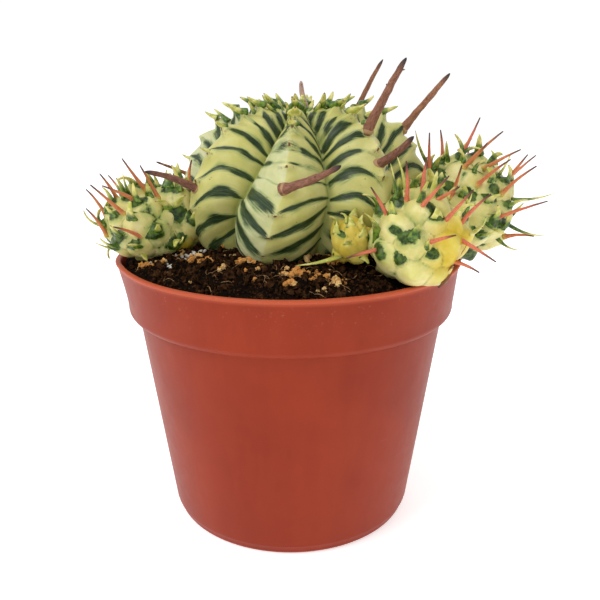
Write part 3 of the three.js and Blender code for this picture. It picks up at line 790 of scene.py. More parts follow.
def make_stem():
    """The ribbed stem, with what its material reads at each point."""
    rows, per_rib = 330, 52
    across_one = np.linspace(-1, 1, per_rib + 1)[1:]
    across_one = np.sign(across_one) * np.abs(across_one) ** 1.35
    rib = np.repeat(np.arange(RIBS), per_rib)
    across = np.tile(across_one, RIBS)
    t = np.linspace(0, 0.996, rows)
    rib_g, t_g = np.broadcast_arrays(rib[None, :], t[:, None])
    across_g = np.broadcast_to(across[None, :], rib_g.shape)
    points = stem_point(rib_g, across_g, t_g)
    points += stem_normal(rib_g, across_g, t_g) * (0.16 * fractal(points, 7, 5))[..., None]
    count = tubercle_count(rib_g, t_g)
    share = np.abs(across_g)
    near_tip = 0.5 + 0.5 * np.cos(2 * np.pi * (count + 0.05))
    pale = RIB_PALENESS[rib_g] + np.where((rib_g == 0) & (across_g < 0), 0.8, 0) * smooth(t_g, 0.72, 0.6)
    pale = pale * (0.8 + 0.2 * fractal(points, 12, 9)) + 0.2 * np.clip(fractal(points, 16, 21), 0, 1)
    skin = np.stack([across_g * 12, stripe_line(rib_g, across_g, t_g) * 6.3, rib_g * 40.0], -1)
    attributes = {
        "skin": skin.reshape(-1, 3),
        "stripe": stripe_field(rib_g, across_g, t_g).ravel(),
        "pale": np.clip(pale, 0, 1).ravel(),
        "crest": (np.exp(-((share / 0.12) ** 2)) * tooth(count)).ravel(),
        "scar": (np.exp(-((share / 0.034) ** 2)) * near_tip**40 * (t_g < 0.72)).ravel(),
        # Painted shade: where the stem's material darkens the grooves between the ribs.
        "groove": smooth(share, 0.86, 1.0).ravel(),
        "sooty": (np.exp(-((share / 0.16) ** 2)) * near_tip**6 * (t_g < 0.8)).ravel(),
        "young": smooth(t_g, 0.72, 0.95).ravel(),
    }
    points = points.reshape(-1, 3)
    columns = RIBS * per_rib
    crown = points[-columns:].mean(0) + [0, 0, -0.2]
    root = points[:columns].mean(0)
    points = np.vstack([points, [root, crown]])
    for key, values in attributes.items():
        tail = np.zeros((2, *values.shape[1:]))
        attributes[key] = np.concatenate([values, tail])
    stem = mesh_from("ribbed_stem", points, closed_faces(rows, columns), attributes)
    finish_piece(stem, MAT["stem"], ["main_stem"])


make_stem()


# ---------------------------------------------------------------- rods: stalks, spines and leaves


def tube(line, radii, sides, flatten=1.0, up=None, rough=0.0, seed=0, tone=0.0):
    """A closed tapering tube along a line of points, with its length, grain and tone as attributes."""
    line = np.asarray(line, float)
    count = len(line)
    tangent = unit(np.gradient(line, axis=0))
    first = np.array([0, 0, 1.0]) if up is None else np.asarray(up, float)
    if abs(tangent[0] @ unit(first)) > 0.95:
        first = np.array([1.0, 0.2, 0])
    side = unit(np.cross(tangent, first))
    top = unit(np.cross(side, tangent))
    turn = np.linspace(0, 2 * np.pi, sides, endpoint=False)
    angle = np.broadcast_to(turn, (count, sides))
    radii = np.asarray(radii, float)[:, None] * np.ones(sides)[None, :]
    along = np.linspace(0, 1, count)[:, None] * np.ones(sides)[None, :]
    length = np.linalg.norm(np.diff(line, axis=0), axis=1).sum()
    lines = np.stack([np.cos(angle), along * length, np.sin(angle) + seed * 3.7], -1)
    if rough:
        radii = radii * (1 + rough * fractal(lines * [1.2, 1, 1.2], 1.6, seed + 40))
    points = (
        line[:, None, :]
        + side[:, None, :] * (radii * np.cos(angle))[..., None]
        + top[:, None, :] * (radii * flatten * np.sin(angle))[..., None]
    )
    points = np.vstack([points.reshape(-1, 3), [line[0], line[-1] + tangent[-1] * radii[-1, 0]]])
    along = np.r_[along.ravel(), 0, 1]
    lines = np.vstack([lines.reshape(-1, 3), [[0, 0, seed], [0, length, seed]]])
    tones = np.full(len(points), tone)
    return points, closed_faces(count, sides, True), {"along": along, "lines": lines, "tone": tones}


def rod_line(node, centre, rooted=1.5, count=24):
    """The centre line of a CAD rod: from inside the flesh it grows on to its tip."""
    points = node_points(node)
    far = np.linalg.norm(points - centre, axis=1)
    tip = points[np.argmax(far)]
    away = np.linalg.norm(points - tip, axis=1)
    base = points[away > 0.8 * away.max()].mean(0)
    axis = unit(tip - base)
    length = np.linalg.norm(tip - base)
    s = (points - base) @ axis / length
    offset = points - base - np.outer(s * length, axis)
    curve = np.polyfit(s, offset, 2)
    grid = np.linspace(-rooted / length, 1, count)
    line = base + np.outer(grid * length, axis)
    for k in range(3):
        line[:, k] += np.polyval(curve[:, k], grid)
    return line + (tip - line[-1]) * np.linspace(0, 1, count)[:, None] ** 2


stem_low, stem_high = box_mm("main_stem")
stem_centre = np.array([*((stem_low + stem_high)[:2] / 2), SOIL_LEVEL + 10])

# Old flower stalks: radius at the foot and how tan they are, from peduncle_1 on.
STALK_RADII = [1.3, 1.2, 1.45, 1.3, 1.35, 1.0, 1.1, 0.6, 1.2]
STALK_TONES = [0.25, 0.1, 0.35, 0.75, 0.1, 0.55, 2.0, 1.0, 0.4]
# A stalk's foot is thickened, its broken tip narrows, and a ring of corky skin stands round it.
STALK_TIP = [0.95, 0.85, 0.66, 0.34]
RING_SHAPE = np.array([1.2, 1.25, 1.28, 1.3, 1.28, 1.22, 1.14, 0.9])


def make_stalks():
    steps = 40
    s = np.linspace(0, 1, steps)
    for number, (radius, tone) in enumerate(zip(STALK_RADII, STALK_TONES), 1):
        node = f"peduncle_{number}"
        line = rod_line(node, stem_centre, 1.8, steps)
        bend = fractal(np.linspace(0, 3, steps)[:, None] * [4.0, 0, 0] + number * 9.0, 4.0, number)
        side = unit(np.cross(line[-1] - line[0], [0.3, 0.1, 1]))
        line = line + side[None, :] * (bend * 0.28 * np.sin(np.pi * s))[:, None]
        radii = radius * (1 - 0.52 * s**1.2)
        radii[-4:] *= STALK_TIP
        radii[:9] *= np.interp(np.arange(9), [0, 3, 5, 8], [1.25, 1.2, 1.08, 1.0])
        parts = [tube(line, radii, 18, rough=0.13, seed=number, tone=tone)]
        out = unit(line[8] - line[0])
        ring_line = line[0] + np.linspace(0.2, 2.0, 8)[:, None] * out
        ring = tube(ring_line, radius * RING_SHAPE, 20, rough=0.1, seed=number + 20, tone=tone)
        ring[2]["along"] = np.full(len(ring[0]), -0.5)
        parts.append(ring)
        # Broken bracts.
        for k in range(3):
            at = line[int(12 + 9 * k + number % 4)]
            poke = unit(side * (1 if k % 2 else -1) + out * 0.5)
            reach = radius * 0.85 + 0.35
            bract = [at, at + poke * reach * 0.7, at + poke * reach]
            parts.append(tube(bract, [0.32, 0.24, 0.1], 6, seed=k, tone=tone))
        make_piece(f"old_stalk_{number}", parts, "stalk", [node])


make_stalks()


def leaf(root, direction, length, width, curl, sway, count=14, seed=0, tone=0.0, thick=0.42):
    """A tapering fleshy leaf that curls upwards by curl and sideways by sway, in radians."""
    direction = unit(direction)
    side = np.cross(direction, [0, 0, 1.0])
    side = unit(side) if np.linalg.norm(side) > 0.05 else np.array([1.0, 0, 0])
    up = unit(np.cross(side, direction))
    s = np.linspace(0, 1, count)
    step = length / (count - 1)
    line = [np.asarray(root, float)]
    for k in range(1, count):
        bend = s[k] ** 1.3
        d = direction * math.cos(curl * bend) + up * math.sin(curl * bend)
        d = unit(d + side * math.sin(sway * bend))
        line.append(line[-1] + d * step)
    radii = width * np.interp(s, [0, 0.15, 0.4, 0.7, 0.92, 1], [1.2, 1.0, 0.7, 0.46, 0.28, 0.1])
    return tube(line, radii, 10, flatten=thick, up=up, seed=seed, tone=tone)


# ---------------------------------------------------------------- offsets

GOLDEN = 137.5
SPREADING_STEPS = 150


def icosphere(subdivisions):
    """Unit sphere of triangles: its points and faces."""
    bm = bmesh.new()
    bmesh.ops.create_icosphere(bm, subdivisions=subdivisions, radius=1)
    points = np.array([v.co for v in bm.verts])
    faces = [tuple(v.index for v in f.verts) for f in bm.faces]
    bm.free()
    return unit(points), faces


SPHERES = {level: icosphere(level) for level in (1, 2, 5, 6)}

# The offsets: level and radius of the sphere they grow from, its height as a share of its width,
# where their growing point lies (azimuth and elevation), how many tubercles rules add to the
# placed ones, how high these stand, where the skin is yellow, how strongly dark bands run along
# the seams, and where the offset stands: azimuth, and distance past the stem's radius and height.
OFFSETS = {
    "front_right_pup": dict(
        level=6, radius=13.0, squash=1.0, apex=(35, 78), fill=14, height=1.0,
        yellow=(40, -4), banded=0.55, stand=(41, 12, 7.6),
    ),
    "rear_right_pup": dict(
        level=6, radius=15.2, squash=1.0, apex=(60, 78), fill=26, height=0.9,
        yellow=None, banded=1.0, stand=(80, 14, 11.6),
    ),
    "left_pup": dict(
        level=6, radius=11.9, squash=0.97, apex=(-60, 74), fill=14, height=1.0,
        yellow=None, banded=0.68, stand=(-78, 10, 6.4),
    ),
    "left_inner_pup": dict(
        level=5, radius=9.3, squash=1.2, apex=(-60, 84), fill=11, height=0.9,
        yellow=(0, -60), banded=0.8, stand=(-79, 0, 8),
    ),
    "small_pup": dict(
        level=5, radius=6.0, squash=1.12, apex=(0, 80), fill=8, height=0.8,
        yellow="all", banded=0.5, stand=(24, -1, 6),
    ),
}

# Tubercles placed one by one on each offset: azimuth, elevation and size, then the dark patch's
# place across and above the tubercle's point, and its size.
PLACED = {
    "front_right_pup": [
        (-16, 0, 1.12, -0.45, 0.25, 0.52), (-46, 22, 1.15, 0.4, -0.45, 0.22),
        (-64, 50, 0.8, 0.1, 0.1, 0.6), (-12, 44, 0.95, 0.7, 0.1, 0.45),
        (12, 27, 0.75, 0.0, 0.1, 0.5), (44, 24, 0.85, 0, 0, 0), (30, -6, 1.15, 0, 0, 0),
        (-14, -38, 1.35, 0.5, 0.5, 0.2), (-50, -20, 1.25, -0.2, 0.1, 0.3), (20, -42, 1.1, 0, 0, 0),
        (39, 53, 0.7, 0, 0, 0), (-84, 30, 0.95, 0.1, 0.2, 0.6), (-148, 70, 0.75, 0, 0, 0),
        (66, 0, 1.0, 0, 0, 0),
    ],
    "rear_right_pup": [
        (-67, 40, 0.85, 0.5, 0.3, 0.5), (-92, 60, 0.7, 0.2, 0.1, 0.6),
        (-64, 77, 0.75, 0.4, 0.0, 0.4), (-24, 56, 0.75, -0.3, 0.4, 0.5),
        (-2, 40, 0.75, 0.2, 0.5, 0.5), (22, 27, 0.85, 0.3, -0.5, 0.45),
        (14, 6, 0.85, 0.2, 0.4, 0.55), (48, 0, 0.8, 0.1, 0.3, 0.6), (-14, 12, 0.9, 0.3, 0.2, 0.55),
        (40, -24, 0.85, 0.0, 0.4, 0.5), (9, -30, 0.9, 0.0, 0.3, 0.5), (46, 50, 0.7, 0.3, 0.1, 0.5),
        (76, 22, 0.85, 0.3, 0.1, 0.5),
    ],
    "left_pup": [
        (-42, -34, 1.0, 0.0, 0.35, 0.55), (0, -30, 1.05, -0.3, 0.3, 0.42),
        (27, -10, 0.95, -0.3, 0.15, 0.6), (-4, 6, 1.1, 0.1, 0.55, 0.25),
        (-36, 10, 0.95, -0.3, 0.25, 0.55), (0, 36, 0.8, 0.0, 0.1, 0.55),
        (26, 42, 0.85, -0.6, 0.1, 0.3), (-30, 42, 0.75, 0.2, 0.1, 0.5),
        (-76, -8, 1.0, 0.2, 0.2, 0.5), (-80, 30, 0.85, 0.2, 0.1, 0.5),
        (-100, -36, 1.0, 0.0, 0.2, 0.5), (58, -34, 1.1, 0.0, 0.2, 0.4),
    ],
    "left_inner_pup": [
        (-10, 6, 1.05, 0.75, -0.2, 0.55), (34, -8, 0.9, 0.1, 0.2, 0.5),
        (-24, 46, 0.75, 0.1, 0.1, 0.55), (16, 40, 0.8, -0.2, 0.2, 0.4),
        (4, -40, 1.0, 0.3, 0.2, 0.3),
    ],
    "small_pup": [
        (-14, -12, 1.0, 0.0, 0, 0), (-52, 10, 1.0, 0.5, 0.3, 0.4), (-6, 36, 0.75, 0, 0, 0),
        (30, 6, 0.9, 0, 0, 0), (44, 44, 0.75, 0, 0, 0), (-34, 52, 0.7, 0.3, 0.2, 0.4),
    ],
}


def offset_centre(name):
    azimuth, stand, lift = OFFSETS[name]["stand"]
    at = heading(azimuth, 0) * (STEM_RADIUS + stand)
    return np.array([STEM_PLACE[0] + at[0], STEM_PLACE[1] + at[1], SOIL_LEVEL + lift])


CENTRES = {name: offset_centre(name) for name in OFFSETS}

TUBERCLE_SETS = {}


def tubercle_set(name):
    """Each tubercle of an offset: direction, across and up vectors, size and patch."""
    spec = OFFSETS[name]
    placed = np.array(PLACED[name], float)
    fixed = heading(placed[:, 0], placed[:, 1])
    local = np.random.default_rng(len(name) * 7 + 3)
    i = np.arange(spec["fill"])
    rise = np.degrees(np.arcsin(1 - 2 * (i + 0.5) / len(i)))
    free = heading(180 + i * GOLDEN, rise)
    typical = math.sqrt(4 / (len(fixed) + len(free)))
    # The free ones push away from each other and from the placed ones.
    for _ in range(SPREADING_STEPS):
        everyone = np.vstack([fixed, free])
        gap = free[:, None, :] - everyone[None, :, :]
        d2 = (gap**2).sum(-1)
        d2[d2 < 1e-9] = np.inf
        free = unit(free + 0.02 * (gap / d2[..., None] ** 2).sum(1) * typical**3)
    centre = np.vstack([fixed, free])
    apex = heading(*spec["apex"])
    up = unit(apex[None, :] - centre * (centre @ apex)[:, None])
    across = np.cross(up, centre)
    size = np.r_[placed[:, 2], local.uniform(0.85, 1.05, len(free))] * typical
    dark = local.uniform(0.35, 0.6, len(free)) * (local.random(len(free)) > 0.15)
    if spec["yellow"] == "all":
        dark = dark * 0.3
    elif name == "front_right_pup":
        dark = dark * 0.75
    sideways, above = local.uniform(-0.5, 0.5, len(free)), local.uniform(0, 0.4, len(free))
    patch = np.vstack([placed[:, 3:6], np.stack([sideways, above, dark], -1)])
    return centre, across, up, size, patch


def offset_radius(name, d):
    """Skin radius of an offset along unit directions d, and where on its tubercle each lies."""
    spec = OFFSETS[name]
    centre, across, up, size, patch = TUBERCLE_SETS[name]
    delta = d[:, None, :] - centre[None, :, :]
    a = (delta * across[None]).sum(-1) / size[None, :]
    b = (delta * up[None]).sum(-1) / size[None, :]
    far = d @ centre.T < 0.2
    top = b - 0.30
    bend = np.where(top > 0, (top / 0.62) ** 2, (top / 1.2) ** 2)
    dome = 1 - 0.95 * (a**2 + bend)
    point = 0.95 * np.exp(-(((a / 0.26) ** 2 + ((b - 0.42) / 0.30) ** 2)))
    rise = spec["radius"] * size[None, :] * (0.34 * dome + 0.20 * point)
    rise = np.where(far, -9, rise)
    order = np.argsort(-rise, axis=1)
    rows = np.arange(len(d))
    best, next_best = rise[rows, order[:, 0]], rise[rows, order[:, 1]]
    k = order[:, 0]
    lift = spec["height"] * np.maximum(best, -0.12 * spec["radius"])
    return spec["radius"] - 0.5 + lift, best - next_best, k, a[rows, k], b[rows, k]


def skin_spot(name, azimuth, elevation, sunk):
    """A spot a little under an offset's skin, measured from its centre."""
    out = heading(azimuth, elevation)
    return out * (offset_radius(name, out[None, :])[0][0] - sunk)


def make_offset(name):
    """An offset's body, with what its material reads at each point."""
    spec = OFFSETS[name]
    TUBERCLE_SETS[name] = tubercle_set(name)
    patch_of = TUBERCLE_SETS[name][4]
    sphere, faces = SPHERES[spec["level"]]
    wobble = 0.05 * np.stack([value_noise(sphere * 10, 4.5, 60 + k) for k in range(3)], -1)
    d = unit(sphere + wobble)
    radius, edge, k, a, b = offset_radius(name, d)
    radius = radius + 0.12 * fractal(sphere * spec["radius"], 5, 31)
    points = sphere * radius[:, None]
    points[:, 2] *= spec["squash"]
    points += CENTRES[name]
    pa, pb, ps = patch_of[k].T
    spread = np.maximum(ps, 1e-3) * 1.4
    patch = 1 - np.sqrt(((a - pa) / (spread * 1.1)) ** 2 + ((b - 0.35 - pb) / (spread * 0.75)) ** 2)
    patch = np.where(ps > 0.05, patch, -1)
    yellow = np.zeros(len(points))
    if spec["yellow"] == "all":
        yellow += 0.75
    elif spec["yellow"]:
        yellow += smooth(d @ heading(*spec["yellow"]), 0.62, 0.97)
    yellow = np.clip(yellow + 0.2 * np.clip(fractal(points, 9, 77), 0, 1), 0, 1)
    attributes = {
        "patch": np.clip(patch, -1, 1),
        "yellow": yellow,
        "edge": np.clip(edge / 0.3, 0, 1),
        "beside": np.clip(1 - edge / 2.4, 0, 1) * spec["banded"],
        "point": np.exp(-(((a / 0.3) ** 2 + ((b - 0.45) / 0.3) ** 2))),
    }
    make_piece(f"{name}_body", [(points, faces, attributes)], "offset", [name])


for name in OFFSETS:
    make_offset(name)

# Tint of each spine: 0 orange, 1 salmon red.
SPINE_TONES = {
    "left_pup": [0.25, 0.2, 0.1, 0.35, 0.3, 0.1, 0.2, 0.55, 0.3],
    "left_inner_pup": [0.3],
    "front_right_pup": [0.95, 1.0, 0.95, 0.85, 0.9, 0.9, 0.85, 0.9, 0.9, 0.4, 0.7],
    "rear_right_pup": [0.85, 0.7, 0.95, 0.2, 0.1, 0.15, 0.5, 0.3, 0.35, 0.8, 0.4, 0.4, 0.4, 0.3],
}


def make_spines():
    steps = 22
    s = np.linspace(0, 1, steps)
    for name, tones in SPINE_TONES.items():
        parts, replaced = [], []
        for i, tone in enumerate(tones):
            node = f"{name}_spine_{i + 1}"
            line = rod_line(node, CENTRES[name], 1.6, steps)
            side = unit(np.cross(line[-1] - line[0], [0.2, 0.4, 1]))
            sway = 0.35 * np.sin(np.pi * s) * math.sin(i * 2.3 + len(name))
            line = line + side[None, :] * sway[:, None]
            radii = 0.68 * (1 - 0.74 * s**1.1)
            radii[:4] *= [1.3, 1.25, 1.15, 1.05]
            parts.append(tube(line, radii, 10, rough=0.12, seed=i + len(name), tone=tone))
            replaced.append(node)
        make_piece(f"{name}_spines", parts, "spine", replaced)


make_spines()

# Leaves that stand out, by offset: azimuth and elevation on it, azimuth and elevation it points
# to, length, half width, curl upwards, sway sideways and tone.
SHOWN_LEAVES = {
    "rear_right_pup": [
        (-30, 76, 30, 76, 8.0, 1.1, 0.6, 1.1, 0.1), (-64, 64, -70, 84, 7.5, 1.1, -0.4, -0.5, 0.2),
        (42, 40, 62, 52, 8.5, 1.2, 0.5, -0.5, 0.5), (44, -32, 55, -46, 8.0, 1.2, 0.9, 0.2, 0.2),
        (14, -8, 40, -40, 7.0, 1.1, 0.6, -0.5, 0.2),
    ],
    "front_right_pup": [
        (-2, -4, 10, 62, 4.6, 1.1, -0.2, 0.1, 0.0), (-62, 56, -90, 84, 9.0, 1.1, -0.2, 0.2, 0.1),
        (-120, 72, -100, 80, 10.0, 1.3, -0.3, 0.8, 0.9), (20, 62, 20, 78, 8.0, 1.4, 0.5, -0.4, 1.0),
        (50, 34, 66, 40, 7.0, 1.2, 0.8, -0.4, 1.0), (62, 10, 78, 22, 6.5, 1.2, 1.2, 0.4, 1.0),
    ],
    "left_pup": [
        (2, -34, 40, -44, 4.5, 1.1, 0.9, 0.6, 0.7), (-66, 2, -84, 2, 8.5, 1.2, 1.3, 0.2, 0.4),
        (-60, -24, -84, -40, 6.0, 1.2, -1.2, 0.4, 0.3), (-34, 58, -60, 66, 7.5, 1.3, 0.5, 0.6, 0.1),
    ],
    "left_inner_pup": [
        (10, 62, 20, 86, 8.0, 1.1, 0.2, 0.5, 0.5), (-50, 66, -60, 70, 7.0, 1.4, 0.4, -0.6, 0.2),
    ],
    "small_pup": [],
}

# The CAD leaves that grow on each offset.
LEAF_NODES = {
    "rear_right_pup": [1, 2, 3],
    "front_right_pup": [4],
    "small_pup": [5],
    "left_pup": [6],
    "left_inner_pup": [],
}
LARGE_LEAF = 1.25 * np.interp(
    np.linspace(0, 1, 20), [0, 0.2, 0.45, 0.75, 0.94, 1], [1.0, 1.0, 0.75, 0.45, 0.2, 0.08]
)


def tubercle_leaves(name):
    """A small leaf by the point of each tubercle, apart from the lowest ones."""
    spec = OFFSETS[name]
    centre, _, up, size, _ = TUBERCLE_SETS[name]
    points_at = unit(centre + up * (0.45 * size)[:, None])
    radius = offset_radius(name, points_at)[0]
    local = np.random.default_rng(len(name) * 13 + 1)
    small = name == "small_pup"
    lowest = 0.15 if name == "front_right_pup" else -0.6
    for i, tip in enumerate(points_at):
        if tip[2] < lowest:
            continue
        root = tip * (radius[i] - 0.9)
        root[2] *= spec["squash"]
        grow = unit(tip * 0.8 + up[i] * local.uniform(0.3, 1.0) + [0, 0, 0.2])
        length = local.uniform(3.4, 6.6) * (0.66 if small else 1)
        width = local.uniform(1.3, 1.8) * (0.8 if small else 1)
        curl = local.uniform(-1.6, 2.4)
        tone = local.uniform(0.0, 0.6)
        if spec["yellow"] == "all":
            tone = 0.75
        elif spec["yellow"] and tip @ heading(*spec["yellow"]) > 0.6:
            tone = 1.0
        sway = local.uniform(-0.9, 0.9)
        yield leaf(root + CENTRES[name], grow, length, width, curl, sway, seed=i, tone=tone)


def make_offset_leaves():
    for name, numbers in LEAF_NODES.items():
        parts = list(tubercle_leaves(name))
        for azimuth, rise, towards, lift, length, width, curl, sway, tone in SHOWN_LEAVES[name]:
            root = skin_spot(name, azimuth, rise, 0.8)
            root[2] *= OFFSETS[name]["squash"]
            root = root + CENTRES[name]
            parts.append(leaf(root, heading(towards, lift), length, width, curl, sway, 20, tone=tone))
        tone = 0.8 if name == "small_pup" else 0.15
        for k in numbers:
            line = rod_line(f"leaf_{k}", CENTRES[name], 2.2, len(LARGE_LEAF))
            parts.append(tube(line, LARGE_LEAF, 10, flatten=0.4, seed=k, tone=tone))
        make_piece(f"{name}_leaves", parts, "leaf", [f"leaf_{k}" for k in numbers])


make_offset_leaves()


# Leaves standing round the growing point: azimuth, distance from it, height of the foot, lean
# outwards in degrees, length, half width and tone.
CROWN_LEAVES = [
    (-12, 8.5, 0.2, 12, 3.6, 1.0, 1.0), (4, 6.0, 0.4, 4, 3.4, 0.9, 0.9),
    (-48, 9.0, 0.0, 26, 5.4, 1.3, 0.05), (-72, 12.5, -0.4, 34, 6.2, 1.4, 0.15),
    (-88, 17.0, -0.8, 40, 6.4, 1.4, 0.1), (-100, 22.0, -1.6, 46, 6.2, 1.3, 0.2),
    (38, 8.0, 0.0, 24, 5.2, 1.3, 0.1), (58, 12.0, 0.0, 38, 6.4, 1.4, 0.15),
    (74, 15.5, -0.2, 46, 7.4, 1.5, 0.25), (88, 19.0, -0.8, 50, 6.6, 1.3, 0.6),
    (102, 24.0, -2.0, 54, 5.4, 1.2, 0.4), (-28, 5.0, 0.4, 10, 4.6, 1.1, 0.2),
    (22, 3.5, 0.4, 8, 4.8, 1.1, 0.1), (-130, 6.0, 0.2, 20, 5.2, 1.2, 0.1),
    (150, 7.0, 0.2, 22, 5.2, 1.2, 0.2), (-165, 11.0, 0.0, 30, 5.6, 1.3, 0.1),
    (120, 12.0, 0.0, 34, 5.8, 1.3, 0.1), (-112, 13.0, -0.2, 34, 6.0, 1.3, 0.1),
    (178, 4.0, 0.4, 6, 4.4, 1.0, 0.7),
]
CROWN_BREADTH = 1.3


def make_stem_leaves():
    """Young leaves that carry on the points of the upper tubercles, and those at the crown."""
    parts = []
    local = np.random.default_rng(5)
    grid = np.linspace(0.5, 0.93, 400)
    for rib in range(RIBS):
        beats = tubercle_count(rib, grid)
        for whole in np.arange(np.ceil(beats[0]), np.floor(beats[-1]) + 1):
            t = float(np.interp(whole, beats, grid))
            root = stem_point(rib, 0.0, t)
            out = stem_normal(rib, 0.0, t)
            young = float(smooth(t, 0.56, 0.76))
            if local.random() > 0.2 + young:
                continue
            radial = heading(float(turned(CREST_AZIMUTHS, rib, t)) + local.uniform(-10, 10), 0)
            inner = float(smooth(t, 0.8, 0.93))
            grow = unit(out * 0.25 + radial * (1.0 - 0.7 * inner) + [0, 0, 0.05 + 0.5 * inner])
            length = 3.6 + 1.8 * young + local.uniform(-0.8, 0.8)
            width = 1.2 + 0.7 * young
            curl = local.uniform(0.0, 0.7) * (1 - inner)
            sway = local.uniform(-0.4, 0.4)
            tone = local.uniform(0.4, 0.9) if t < 0.78 else local.uniform(0.0, 0.4)
            foot = root - grow * 1.6
            seed = rib * 9
            parts.append(leaf(foot, grow, length, width, curl, sway, seed=seed, tone=tone, thick=0.6))
    crown = stem_point(0, 0.0, 0.99)
    for i, (azimuth, far, rise, lean, length, width, tone) in enumerate(CROWN_LEAVES):
        width = width * CROWN_BREADTH
        root = crown + heading(azimuth, 0) * far + [0, 0, rise - 0.4]
        grow = heading(azimuth, 90 - lean)
        curl = local.uniform(-0.5, 0.3)
        sway = local.uniform(-0.4, 0.4)
        parts.append(leaf(root, grow, length, width, curl, sway, 16, seed=i, tone=tone, thick=0.55))
    make_piece("crown_leaves", parts, "leaf")


make_stem_leaves()

# Dried bracts under the front offset: azimuth and elevation on it, azimuth and elevation they
# point to, length, half width and curl.
DRY_BRACTS = [
    (38, -22, -60, -50, 6.5, 0.9, 0.3), (43, -28, -70, -30, 5.5, 0.7, 0.4),
    (36, -34, -40, -60, 4.5, 1.0, 0.5), (47, -16, 60, 50, 5.0, 0.6, 0.3),
    (41, -24, 50, 20, 4.5, 0.7, 0.6),
]


def make_dry_bracts():
    parts = []
    for i, (azimuth, rise, towards, lift, length, width, curl) in enumerate(DRY_BRACTS):
        root = CENTRES["front_right_pup"] + skin_spot("front_right_pup", azimuth, rise, 0.5)
        grow = heading(towards, lift)
        parts.append(leaf(root, grow, length, width, curl, 0.5, 16, seed=i, tone=0.7, thick=0.3))
    make_piece("dry_bracts", parts, "stalk")


make_dry_bracts()


# ---------------------------------------------------------------- soil

SOIL_REACH = RIM - 2.6
STEM_FOOT = (2.3, 4.5)
STEM_FOOT_RADIUS = 24
IN_DRIFT = 0.82


def soil_height(x, y):
    radius = np.hypot(x, y)
    share = np.minimum(1, radius / (RIM - WALL))
    base = SOIL_EDGE + SOIL_MOUND * (1 - share**2.4)
    p = np.stack([x, y, np.zeros_like(x)], -1)
    return base + 0.9 * fractal(p, 14, 3) * (1 - 0.6 * share) + 0.75 * fractal(p, 4.5, 8)


def soil_at(x, y):
    """Height of the soil at one place."""
    return float(soil_height(np.array([x]), np.array([y]))[0])


def make_soil():
    """The plug of peat: up inside the pot from its base, and over the mound to the middle."""
    count, rows = 220, 90
    radius = np.linspace(0.6, RIM - 1.85, rows)
    out = heading(around(count), 0)
    x = radius[::-1, None] * out[None, :, 0]
    y = radius[::-1, None] * out[None, :, 1]
    z = soil_height(x, y) + 0.45 * fractal(np.stack([x, y, 0 * x], -1), 1.8, 14, 2)
    top = np.stack([x, y, z], -1).reshape(-1, 3)
    bottom, ledge, inside = 2.0, COLLAR + 1.6, WALL + 0.4
    lower = []
    for reach, height in ((BASE, bottom), (WALL_TOP, ledge), (SHOULDER_OUT, ledge)):
        ring = out * (reach - inside)
        ring[:, 2] = height
        lower.append(ring)
    points = np.vstack([*lower, top, [[0, 0, bottom], [0, 0, soil_at(0.0, 0.0)]]])
    tone = np.clip(fractal(points, 5, 19), 0, 1)
    peat = mesh_from("peat", points, closed_faces(rows + len(lower), count), {"tone": tone})
    finish_piece(peat, MAT["soil"], ["soil"])


make_soil()


def clear_of_plant(x, y, margin):
    """True where open soil shows: outside the stem and the offsets."""
    ok = math.hypot(x, y) < SOIL_REACH
    ok &= math.hypot(x - STEM_FOOT[0], y - STEM_FOOT[1]) > STEM_FOOT_RADIUS + margin
    for name, centre in CENTRES.items():
        reach = OFFSETS[name]["radius"] * 0.8 + margin
        high = centre[2] >= SOIL_LEVEL + 10
        ok &= math.hypot(x - centre[0], y - centre[1]) > reach * (0.8 if high else 1)
    return ok


def anywhere(local, reach):
    """A random spot within reach of the middle, evenly spread."""
    a, r = local.uniform(0, 2 * np.pi), reach * math.sqrt(local.random())
    return r * math.cos(a), r * math.sin(a)


def lumps(
    name, material, count, sizes, level, seed, sink, angular, patches=(), replaced=(), cluster=1
):
    """Scattered lumps of one kind, single or in small clusters, as one piece."""
    local = np.random.default_rng(seed)
    sphere, faces = SPHERES[level]
    faces = np.array(faces)
    points, all_faces, tones = [], [], []
    start, made = 0, 0
    while made < count:
        if patches and local.random() < IN_DRIFT:
            px, py, spreading = patches[local.integers(len(patches))]
            x, y = px + local.normal() * spreading, py + local.normal() * spreading
        else:
            x, y = anywhere(local, RIM - 3)
        if not clear_of_plant(x, y, -2.0):
            continue
        tone = local.random()
        size = local.uniform(*sizes)
        for part in range(1 + local.integers(cluster * 2) if cluster > 1 else 1):
            dx, dy = (local.normal(size=2) * size * 0.9) if part else (0, 0)
            own = size * local.uniform(0.6, 1.25)
            shift = start * 0.01
            shape = sphere * (1 + angular * value_noise(sphere * 2.2 + shift, 1.3, seed))[:, None]
            shape = shape * (1 + 0.22 * value_noise(sphere * 5 + shift, 1.1, seed + 1))[:, None]
            shape = shape * local.uniform(0.65, 1.1, 3)
            turn = np.linalg.qr(local.normal(size=(3, 3)))[0]
            if np.linalg.det(turn) < 0:
                turn[:, 0] *= -1
            if math.hypot(x + dx, y + dy) > SOIL_REACH:
                continue
            z = soil_at(x + dx, y + dy)
            points.append(shape @ turn.T * own + [x + dx, y + dy, z + own * (0.5 - sink)])
            all_faces.append(faces + start)
            tones.append(np.full(len(sphere), np.clip(tone + local.normal() * 0.12, 0, 1)))
            start += len(sphere)
        made += 1
    tones = {"tone": np.concatenate(tones)}
    scattered = mesh_from(name, np.vstack(points), np.vstack(all_faces), tones, shade=False)
    finish_piece(scattered, MAT[material], replaced)


